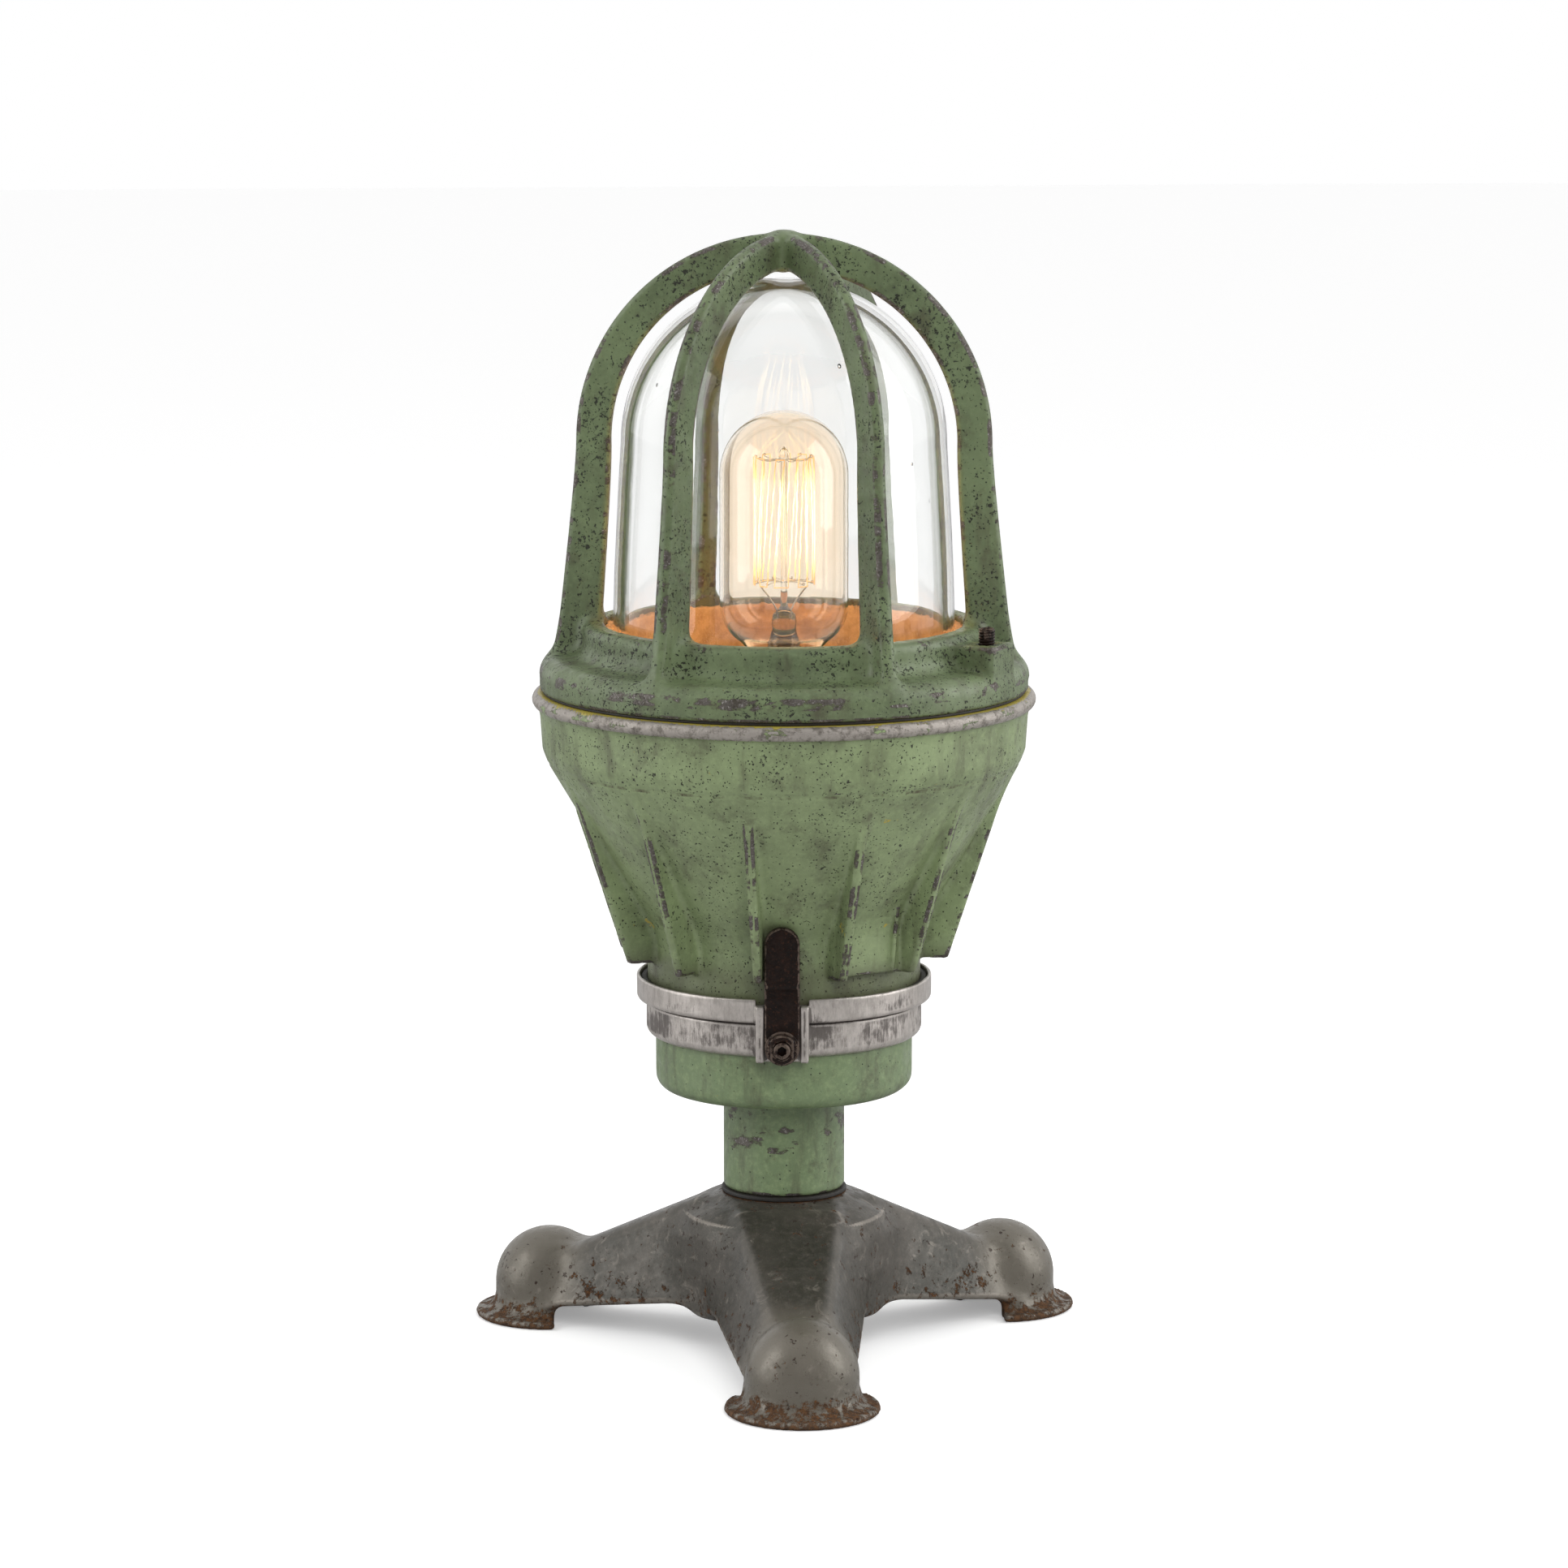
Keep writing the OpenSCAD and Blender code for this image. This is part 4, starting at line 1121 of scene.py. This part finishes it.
def pits(n, size, share, seed, fatness=0.30):
    """Round pits: 1 inside a pit. Share is how many cells of the given size hold one."""
    at = n.shifted(seed, seed * 0.7, -seed)
    cell = n.cells(size, at)
    pick = n.add("ShaderNodeSeparateColor", {0: cell["Color"]}).outputs
    wobble = n.noise(size * 0.7, 2.0, 0.6, at)
    reach = n.times(n.ramp(pick[1], 0, 1, 0.45, 1.0, False), fatness)
    reach = n.plus(reach, n.times(n.minus(wobble, 0.5), 0.22))
    gap = n.minus(reach, cell["Distance"])
    inside = n.ramp(gap, 0.0, 0.07)
    chosen = n.ramp(n.minus(share, pick[0]), 0.0, 0.02)
    return n.times(inside, chosen)


def specks(n, size, share, seed):
    """Ragged specks, thicker where share is near 1."""
    grain = n.noise(size, 3, 0.62, n.shifted(-seed, seed * 1.3, seed), 0.4)
    limit = n.ramp(share, 0, 1, 0.74, 0.575, False)
    return n.ramp(n.minus(grain, limit), 0.0, 0.035)


def paint_colour(n, tone, dark_tone, seed):
    """Mottled enamel, streaked with grime, and darkened in its corners as painted shade."""
    cloud = n.noise(26, 5, 0.6, n.shifted(seed, 0, 0))
    colour = n.mix(n.ramp(cloud, 0.35, 0.7), tone, dark_tone)
    below_collar = n.ramp(n.height(), COLLAR_FOOT, COLLAR_FOOT + 1, 0.85, 0.0)
    colour = n.mix(below_collar, colour, LOWER_GREEN)
    pale = tuple(c * 1.35 for c in tone)
    colour = n.mix(n.ramp(n.noise(2.2, 6, 0.7), 0.42, 0.75, 0, 0.45), colour, pale)
    streak = n.noise(9, 4, 0.65, n.stretched(1, 1, 0.22))
    patch = n.noise(13, 8, 0.74, n.shifted(0, seed, 5))
    colour = n.mix(n.ramp(streak, 0.50, 0.76, 0, 0.55), colour, GRIME_AND_SHADE)
    colour = n.mix(n.ramp(patch, 0.52, 0.70, 0, 0.55), colour, GRIME_AND_SHADE)
    # Painted shade: the colour is pulled towards the grime colour where the surface is enclosed.
    return n.mix(n.ramp(n.crevice(8), 0.30, 0.95, 0, 0.75), colour, GRIME_AND_SHADE)


def paint_pits(n, pit_share, seed):
    """Pits in clusters, 1 inside a pit; few of them below the collar."""
    cluster = n.noise(20, 4, 0.6, n.shifted(-seed, 3, seed))
    share = n.ramp(cluster, 0.38, 0.60, pit_share * 0.40, pit_share)
    upper = n.ramp(n.height(), COLLAR_FOOT - 1, COLLAR_FOOT + 1)
    share = n.times(share, n.ramp(upper, 0, 1, 0.22, 1.0, False))
    small = pits(n, 1.15, share, seed, 0.29)
    large = pits(n, 3.2, n.times(share, 0.4), seed + 9, 0.17)
    return n.most(n.most(small, large), specks(n, 1.4, share, seed))


def paint_loss(n, level, seed, belts):
    """How worn the paint is; it is gone where this is near 1. Outside edges wear first, and so
    do belts of (foot, top, amount), which are heights that get knocked."""
    ragged = n.noise(8, 7, 0.62, n.stretched(0.75, 0.75, 1.4, n.shifted(seed, seed, 0)))
    broad = n.noise(34, 3, 0.5, n.shifted(0, -seed, seed))
    edges = n.times(n.ramp(n.attribute("edge"), 0.10, 0.45), 0.42)
    knocks = [n.times(n.belt(foot, top, 1.5), amount) for foot, top, amount in belts]
    return n.plus(edges, ragged, n.times(n.minus(broad, 0.5), 0.50), *knocks, level)


def bowl_marks(n, colour):
    """Marks only the bowl has: a dirty line at the seam, primer in spots and on the rim, and a
    band of grime and painted shade round the neck, between the collar and the fins."""
    line = n.times(n.belt(CONE_TOP - 0.3, CONE_TOP + 0.3, 0.4), n.ramp(n.noise(5, 5, 0.7), 0.46, 0.66))
    colour = n.mix(n.times(line, 0.75), colour, SEAM_DIRT)
    spot = n.ramp(n.noise(15, 5, 0.7, n.shifted(7, 60, 31)), 0.685, 0.70)
    colour = n.mix(spot, colour, PRIMER)
    colour = n.mix(n.belt(RIM - 0.7, RIM + 1, 0.4), colour, PRIMER)
    # Grime and painted shade in a band round the neck, where the collar meets the bowl.
    neck = n.times(n.belt(COLLAR_TOP - 6, COLLAR_TOP + 6, 8), 0.5)
    return n.mix(neck, colour, GRIME_AND_SHADE)


def worn_paint(name, tone, dark_tone, pit_share, level, seed, belts, on_bowl=False):
    """Old enamel over aluminium: pitted, chipped to dark metal on its edges, grimy, and darkened with
    painted shade in its corners.
    """
    n = Nodes(name)
    colour = paint_colour(n, tone, dark_tone, seed)
    hole = paint_pits(n, pit_share, seed)
    colour = n.mix(n.times(hole, 0.88), colour, PIT_BLACK)
    loss = paint_loss(n, level, seed, belts)
    bare = n.ramp(loss, 0.985, 1.003)
    rim = n.minus(n.ramp(loss, 0.945, 0.985), bare)
    glitter = n.noise(0.8, 4, 0.8)
    metal = n.mix(n.ramp(glitter, 0.54, 0.70), METAL_DARK, METAL_GLINT)
    if on_bowl:
        colour = bowl_marks(n, colour)
        metal = n.mix(n.belt(RIM - 6, RIM, 1.0), metal, METAL_RIM)
    metal = n.mix(n.ramp(n.noise(3.5, 5, 0.7), 0.45, 0.65, 0, 0.6), metal, GRIME_AND_SHADE)
    colour = n.mix(n.times(rim, 0.7, clamp=True), colour, GRIME_AND_SHADE)
    colour = n.mix(bare, colour, metal)
    relief = n.plus(n.times(n.noise(1.6, 4, 0.6), 0.25), n.times(n.noise(6, 3, 0.5), 0.5))
    relief = n.minus(n.minus(relief, n.times(hole, 0.9)), n.times(bare, 0.7))
    relief = n.plus(relief, n.times(n.times(bare, glitter), 0.6))
    rough = n.plus(n.ramp(n.noise(5, 5, 0.6), 0.3, 0.7, 0.34, 0.56), n.times(hole, 0.3))
    return n.finish(Base_Color=colour, Metallic=n.times(bare, 0.6), Roughness=rough,
                    Normal=n.bump(relief, 0.3))


def iron_colour(n, on_foot):
    """Dark cast iron, browner on the feet and painted lighter there as a highlight on the domes, rubbed
    pale on its edges and in scuffs.
    """
    colour = n.mix(n.ramp(n.noise(28, 5, 0.6), 0.3, 0.7), IRON, IRON_DARK)
    # Feet lighter: partly browner iron, partly a painted highlight on the domes.
    colour = n.mix(n.times(on_foot, 0.7), colour, IRON_FOOT_AND_HIGHLIGHT)
    colour = n.mix(n.ramp(n.noise(2.6, 6, 0.75), 0.45, 0.72, 0, 0.35), colour, (0.15, 0.13, 0.11))
    scuff = n.noise(9, 6, 0.7, n.shifted(20, 5, 0), 1.2)
    edges = n.ramp(n.attribute("edge"), 0.10, 0.5, 0, 0.5)
    rubbed = n.plus(edges, n.ramp(scuff, 0.56, 0.70, 0, 0.45), clamp=True)
    return n.mix(rubbed, colour, IRON_RUBBED)


def iron_rust(n, on_foot):
    """Where rust is: in corners, on the brims, round the feet of the domes and low on the legs."""
    hollow = n.times(n.ramp(n.crevice(10), 0.12, 0.6), 0.24)
    low_down = n.times(n.times(n.ramp(n.height(), 1.0, 10.0, 1.0, 0.0), on_foot), 0.10)
    ledge = n.times(n.times(n.belt(3.5, 7.5, 2.0), on_foot), 0.055)
    low_edge = n.times(n.ramp(n.height(), 12, 30, 1.0, 0.0), 0.085)
    low_edge = n.times(low_edge, n.minus(1.0, on_foot))
    return n.ramp(n.plus(hollow, low_down, ledge, low_edge, n.noise(4.5, 8, 0.80)), 0.60, 0.645)


def burnished_iron(name):
    """Rubbed cast iron with rust, dark pits and a greasy sheen."""
    n = Nodes(name)
    on_foot = n.ramp(n.out(), FOOT_CIRCLE - 24, FOOT_CIRCLE - 10)
    rust = iron_rust(n, on_foot)
    rust_tone = n.mix(n.ramp(n.noise(1.6, 5, 0.75), 0.35, 0.7), RUST_DARK, RUST_LIGHT)
    colour = n.mix(n.times(rust, 0.88), iron_colour(n, on_foot), rust_tone)
    cluster = n.ramp(n.noise(16, 3, 0.6), 0.44, 0.66, 0.05, 0.8)
    hole = n.most(specks(n, 2.4, cluster, 3.0), pits(n, 4.0, cluster, 8.0, 0.2))
    colour = n.mix(n.times(hole, 0.85), colour, RUST_DARK)
    relief = n.plus(n.times(n.noise(7, 4, 0.55), 0.8), n.times(n.noise(1.2, 4, 0.7), 0.18))
    relief = n.minus(relief, n.times(hole, 0.8))
    relief = n.plus(relief, n.times(n.times(rust, n.noise(0.9, 4, 0.8)), 0.6))
    rough = n.ramp(n.noise(4, 5, 0.6), 0.3, 0.7, 0.32, 0.50)
    rough = n.plus(n.minus(rough, n.times(on_foot, 0.06)), n.times(rust, 0.35), clamp=True)
    metallic = n.minus(0.35, n.times(rust, 0.30))
    shine = n.minus(0.5, n.times(rust, 0.38))
    return n.finish(Base_Color=colour, Metallic=metallic, Roughness=rough, Specular_IOR_Level=shine,
                    Normal=n.bump(relief, 0.3))


def streaked_aluminium(name):
    """Turned aluminium, rubbed bright on its edges, with dark upright rubbing marks in patches and painted
    shade in its corners.
    """
    n = Nodes(name)
    round_it = n.unrolled(50)
    hairs = n.noise(0.7, 4, 0.75, n.stretched(1, 1, 0.12, round_it))
    brushed = n.noise(3.0, 6, 0.75, n.stretched(1, 1, 0.45, round_it))
    patch = n.noise(16, 5, 0.62, n.stretched(1, 1, 0.9, round_it))
    colour = n.mix(n.ramp(brushed, 0.3, 0.7), (0.52, 0.48, 0.45), (0.35, 0.32, 0.295))
    # Painted shade: darker where the surface is enclosed, in the corners.
    corners = n.times(n.ramp(n.crevice(4), 0.3, 0.9), 0.28)
    dirt_and_shade = n.plus(n.times(hairs, 0.36), n.times(brushed, 0.30), n.times(patch, 0.80), corners)
    dirt_and_shade = n.minus(dirt_and_shade, n.times(n.ramp(n.attribute("edge"), 0.05, 0.5), 0.16))
    colour = n.mix(n.ramp(dirt_and_shade, 0.66, 0.82, 0, 0.85), colour, (0.055, 0.045, 0.040))
    colour = n.mix(n.ramp(hairs, 0.5, 0.75, 0, 0.35), colour, (0.13, 0.11, 0.10))
    turning = n.noise(0.5, 2, 0.5, n.stretched(0.04, 1, 1, round_it))
    scratch = n.noise(0.35, 3, 0.7, n.stretched(1, 1, 0.05, round_it))
    relief = n.plus(n.times(turning, 0.3), n.times(scratch, 0.4), n.times(n.noise(3, 5, 0.6), 0.8))
    rough = n.ramp(dirt_and_shade, 0.5, 0.9, 0.32, 0.65)
    metallic = n.ramp(dirt_and_shade, 0.6, 0.85, 0.75, 0.2)
    return n.finish(Base_Color=colour, Metallic=metallic, Roughness=rough, Normal=n.bump(relief, 0.12))


def rusted_steel(name):
    """Almost black oiled rust, rubbed through to steel on its edges."""
    n = Nodes(name)
    cloud = n.noise(4, 6, 0.7)
    colour = n.mix(n.ramp(cloud, 0.35, 0.7), (0.0040, 0.0020, 0.0015), (0.012, 0.0050, 0.0032))
    colour = n.mix(n.ramp(n.noise(0.9, 5, 0.75), 0.52, 0.74, 0, 0.7), colour, (0.060, 0.023, 0.011))
    rubbed = n.plus(n.ramp(n.attribute("edge"), 0.3, 1.0, 0, 0.30), n.noise(2.5, 6, 0.7))
    bright = n.ramp(rubbed, 0.70, 0.84)
    colour = n.mix(n.times(bright, 0.8), colour, (0.14, 0.105, 0.085))
    relief = n.plus(n.times(cloud, 0.8), n.times(n.noise(0.7, 4, 0.75), 0.5))
    rough = n.ramp(n.noise(1.5, 4, 0.7), 0.3, 0.7, 0.38, 0.7)
    metallic = n.times(bright, 0.5)
    return n.finish(Base_Color=colour, Metallic=metallic, Roughness=rough,
                    Specular_IOR_Level=0.2, Normal=n.bump(relief, 0.22))


def worked_metal(name, tone, dull, roughness):
    """Clean worked metal, slightly brushed, spotted and finger marked."""
    n = Nodes(name)
    spots = n.noise(5, 6, 0.7)
    brushed = n.noise(0.35, 3, 0.6, n.stretched(1, 1, 0.12))
    colour = n.mix(n.ramp(spots, 0.4, 0.72, 0, 0.75), tone, dull)
    rough = n.ramp(spots, 0.3, 0.75, roughness, roughness + 0.25)
    normal = n.bump(brushed, 0.03, n.soft_edges(0.25))
    return n.finish(Base_Color=colour, Metallic=0.95, Roughness=rough, Normal=normal)


def moulded(name, tone, dust, roughness, depth=0.08, grain=0.6):
    """Rubber, plastic or fired clay: an even body colour with dust, painted shade in its corners, fine
    grain and soft edges.
    """
    n = Nodes(name)
    cloud = n.noise(7, 6, 0.7)
    colour = n.mix(n.ramp(cloud, 0.42, 0.75, 0, 0.6), tone, dust)
    # Painted shade: darker where the surface is enclosed, in the corners.
    colour = n.mix(n.ramp(n.crevice(3), 0.3, 0.9, 0, 0.5), colour, GRIME_AND_SHADE)
    relief = n.plus(n.noise(grain, 4, 0.6), n.times(cloud, 0.5))
    rough = n.ramp(cloud, 0.3, 0.7, roughness, min(roughness + 0.2, 1))
    return n.finish(Base_Color=colour, Roughness=rough, Normal=n.bump(relief, depth, n.soft_edges(0.3)))


def packed_cement(name):
    """Peach coloured litharge cement, gritty, with glycerine stains."""
    n = Nodes(name)
    colour = n.mix(n.ramp(n.noise(6, 6, 0.7), 0.35, 0.7), (0.52, 0.30, 0.13), (0.34, 0.18, 0.075))
    colour = n.mix(n.ramp(n.noise(1.2, 4, 0.7), 0.5, 0.75, 0, 0.5), colour, (0.62, 0.38, 0.2))
    relief = n.plus(n.noise(0.8, 5, 0.75), n.noise(4, 4, 0.6))
    return n.finish(Base_Color=colour, Roughness=0.8, Normal=n.bump(relief, 0.4))


def glass(name, tint, wobble=0.03, glow=None):
    """Old glass, slightly uneven; light for shadows passes straight through. Glow is a colour
    and strength added where the surface faces the camera, for the haze round a lit filament."""
    n = Nodes(name)
    uneven = n.plus(n.noise(16, 2, 0.5), n.times(n.noise(2.5, 2, 0.5), 0.08))
    smear = n.ramp(n.noise(14, 6, 0.7), 0.5, 0.8, 0.0, 0.05)
    inputs = {"Base Color": n.colour(tint), "Roughness": smear, "IOR": 1.47, "Transmission Weight": 1.0,
              "Normal": n.bump(uneven, wobble)}
    body = n.add("ShaderNodeBsdfPrincipled", inputs).outputs[0]
    if glow:
        facing = n.add("ShaderNodeLayerWeight", {"Blend": 0.35}).outputs["Facing"]
        haze = n.ramp(facing, 0.0, 0.85, glow[1], 0.0)
        level = n.ramp(n.height(), glow[2], glow[3], 0.0, 1.0)
        shine = n.add("ShaderNodeEmission", {"Color": n.colour(glow[0]), "Strength": n.times(haze, level)})
        body = n.add("ShaderNodeAddShader", {0: body, 1: shine.outputs[0]}).outputs[0]
    clear = n.add("ShaderNodeBsdfTransparent", {"Color": n.colour(tint)}).outputs[0]
    shadow = n.add("ShaderNodeLightPath").outputs["Is Shadow Ray"]
    mixed = n.add("ShaderNodeMixShader", {0: shadow, 1: body, 2: clear})
    n.add("ShaderNodeOutputMaterial", {"Surface": mixed.outputs[0]})
    return n.material


FILAMENT_GLOW = 3.2


def hot_filament(name):
    """Carbon filament, whiter in the middle of its height than at its hooks."""
    n = Nodes(name)
    middle = (FILAMENT_LOW + FILAMENT_HIGH) / 2
    off = n.math("ABSOLUTE", n.minus(n.height(), middle))
    heat = n.ramp(off, 8, (FILAMENT_HIGH - FILAMENT_LOW) / 2, 1.0, 0.35)
    heat = n.times(heat, n.ramp(n.noise(3, 3, 0.6), 0.3, 0.7, 0.8, 1.1))
    strength = n.times(heat, FILAMENT_GLOW)
    colour = n.mix(heat, (1.0, 0.40, 0.10), (1.0, 0.80, 0.38))
    return n.finish(Base_Color=(0.1, 0.08, 0.06), Roughness=0.6, Emission_Color=colour,
                    Emission_Strength=strength)


def finishes():
    """One material for each material slot of the record."""
    grey, dull_grey = (0.55, 0.54, 0.52), (0.30, 0.29, 0.28)
    guard_wear = ((FLANGE + 4.5, FLANGE + 7.5, 0.39),)
    bowl_wear = ((RIM - 5.5, RIM - 0.5, 0.19), (STEM_FOOT + 16, STEM_TOP - 3, 0.39))
    return {
        "green_paint": worn_paint("green_enamel", GREEN, GREEN_DARK, 0.72, 0.040, 4.0, bowl_wear, True),
        "guard_paint": worn_paint("guard_enamel", RIB_GREEN, RIB_GREEN_DARK, 1.0, 0.035, 11.0, guard_wear),
        "cast_iron": burnished_iron("burnished_iron"),
        "turned_aluminium": streaked_aluminium("streaked_aluminium"),
        "sheet_aluminium": worked_metal("sheet_aluminium", (0.62, 0.62, 0.61), dull_grey, 0.32),
        "rusty_steel": rusted_steel("rusted_steel"),
        "plated_steel": worked_metal("plated_steel", grey, dull_grey, 0.25),
        "black_rubber": moulded("black_rubber", (0.012, 0.011, 0.010), (0.04, 0.035, 0.03), 0.55),
        "brass": worked_metal("brass", (0.62, 0.42, 0.16), (0.30, 0.17, 0.06), 0.22),
        "porcelain": moulded("porcelain", (0.70, 0.68, 0.61), (0.60, 0.55, 0.45), 0.10, 0.02, 3.0),
        "cement": packed_cement("litharge_cement"),
        "clear_glass": glass("globe_glass", (0.974, 0.979, 0.973)),
        "amber_glass": glass("bulb_glass", (0.99, 0.915, 0.815), 0.02, ((1.0, 0.62, 0.28), 0.03, 258, 285)),
        "black_glass": moulded("black_glass", (0.008, 0.008, 0.009), (0.03, 0.027, 0.024), 0.08, 0.02, 2.0),
        "lit_filament": hot_filament("hot_filament"),
        "brown_wire": moulded("brown_insulation", (0.10, 0.045, 0.02), (0.16, 0.10, 0.06), 0.4),
        "blue_wire": moulded("blue_insulation", (0.03, 0.09, 0.28), (0.08, 0.13, 0.26), 0.4),
        "green_wire": moulded("green_insulation", (0.10, 0.26, 0.05), (0.20, 0.28, 0.08), 0.4),
    }


# ---- Camera, light and floor ----

BULB_POWER = 0.36
FLOOR_GLOW = 0.30


def set_camera():
    """Long lens from in front, a little to the left and above, as a product is photographed."""
    camera = bpy.data.objects.new("camera", bpy.data.cameras.new("camera"))
    bpy.context.scene.collection.objects.link(camera)
    camera.location = Vector((-142.4, -2142.6, 557.1)) * MM
    target = Vector((0, 0, APEX / 2 + 4)) * MM
    camera.rotation_mode = "QUATERNION"
    camera.rotation_quaternion = (target - camera.location).to_track_quat("-Z", "Y")
    camera.data.sensor_width = 36
    camera.data.lens = 142.4
    bpy.context.scene.camera = camera


def area_light(name, place, size, power, colour=(1, 1, 1)):
    lamp = bpy.data.lights.new(name, "AREA")
    lamp.shape = "RECTANGLE"
    lamp.size, lamp.size_y = size
    lamp.energy = power
    lamp.color = colour
    obj = bpy.data.objects.new(name, lamp)
    bpy.context.scene.collection.objects.link(obj)
    obj.location = place
    obj.rotation_mode = "QUATERNION"
    obj.rotation_quaternion = (Vector((0, 0, 0.2)) - obj.location).to_track_quat("-Z", "Y")
    return obj


def set_light():
    """White studio: pale all round, dimmer towards the camera, with soft boxes at both sides."""
    area_light("softbox_left", Vector((-1.35, -0.2, 0.7)), (0.8, 1.4), 8.0)
    area_light("softbox_right", Vector((1.25, -0.2, 0.75)), (0.9, 1.4), 10.5)
    front = area_light("softbox_front", Vector((0.2, -1.7, 1.1)), (0.9, 0.9), 20.0)
    front.visible_glossy = False
    front.visible_transmission = False
    world = bpy.data.worlds.new("studio")
    world.use_nodes = True
    nodes, links = world.node_tree.nodes, world.node_tree.links
    nodes.clear()
    direction = nodes.new("ShaderNodeTexCoord").outputs["Generated"]
    parts = nodes.new("ShaderNodeSeparateXYZ")
    links.new(direction, parts.inputs[0])
    spread = nodes.new("ShaderNodeMapRange")
    spread.interpolation_type = "SMOOTHSTEP"
    spread.inputs["From Min"].default_value = -0.85
    spread.inputs["From Max"].default_value = 0.25
    spread.inputs["To Min"].default_value = 0.26
    spread.inputs["To Max"].default_value = 1.0
    links.new(parts.outputs[1], spread.inputs["Value"])
    back = nodes.new("ShaderNodeBackground")
    links.new(spread.outputs[0], back.inputs["Strength"])
    back.inputs["Color"].default_value = (1, 1, 1, 1)
    out = nodes.new("ShaderNodeOutputWorld")
    links.new(back.outputs[0], out.inputs["Surface"])
    bpy.context.scene.world = world


def build_floor():
    half = 6.0
    corners = [(-half, -half, 0), (half, -half, 0), (half, half, 0), (-half, half, 0)]
    mesh = bpy.data.meshes.new("floor")
    mesh.from_pydata(corners, [], [(0, 1, 2, 3)])
    floor = bpy.data.objects.new("floor", mesh)
    bpy.context.scene.collection.objects.link(floor)
    n = Nodes("floor_white")
    path = n.add("ShaderNodeLightPath").outputs
    seen = n.most(path["Is Camera Ray"], path["Is Transmission Ray"])
    tone = n.mix(seen, (0.50, 0.50, 0.50), (0.86, 0.86, 0.86))
    glow = n.times(seen, FLOOR_GLOW)
    dress(floor, n.finish(Base_Color=tone, Roughness=0.8, Specular_IOR_Level=0.1,
                          Emission_Color=(1, 1, 1), Emission_Strength=glow))


def bulb_light():
    """The filament's light, as one warm glowing ball inside the bulb."""
    lamp = bpy.data.lights.new("filament_light", "POINT")
    lamp.energy = BULB_POWER
    lamp.color = (1.0, 0.64, 0.32)
    lamp.shadow_soft_size = 0.011
    obj = bpy.data.objects.new("filament_light", lamp)
    bpy.context.scene.collection.objects.link(obj)
    obj.location = Vector((0, 0, (FILAMENT_LOW + FILAMENT_HIGH) / 2)) * MM
    obj.visible_camera = False
    obj.visible_transmission = False
    obj.visible_glossy = False


# ---- The lamp ----


CASTINGS = {
    "guard": (guard_distance, 1.0),
    "bowl_housing": (bowl_distance, 1.0),
    "base_casting": (base_distance, 1.0),
    "stem_tube": (stem_distance, 1.0),
    "junction_cup": (cup_distance, 1.0),
    "collar": (collar_distance, 0.5),
    "collar_gasket": (gasket_distance, 0.6),
    "latch_strap": (strap_distance, 0.4),
    "latch_washer": (washer_distance, 0.3),
    "latch_nut": (nut_distance, 0.3),
    "latch_stud": (stud_distance, 0.22),
    "lock_screw": (lock_screw_distance, 0.22),
    "globe_cement": (cement_distance, 0.8),
    "bulb_cap": (cap_distance, 0.5),
}


def build_pieces():
    for node, (distance, step) in CASTINGS.items():
        yield cast(node, distance, step)
    yield made("rim_gasket", lathe(seal_outline()))
    yield made("stem_seat_washer", lathe(seat_washer_outline(), 96))
    yield build_globe()
    yield build_bulb_glass()
    yield made("bulb_stem", stem_press_shape())
    yield build_filament()
    yield build_supports()
    yield build_spring()


def main():
    bpy.context.scene.view_settings.view_transform = "Standard"
    finish = finishes()
    for piece in build_pieces():
        node = piece.name.removesuffix("_piece")
        dress(piece, finish[SLOTS[node]])
    for node, obj in frame["nodes"].items():
        dress(obj, finish[SLOTS[node]])
    build_floor()
    set_light()
    bulb_light()
    set_camera()


main()
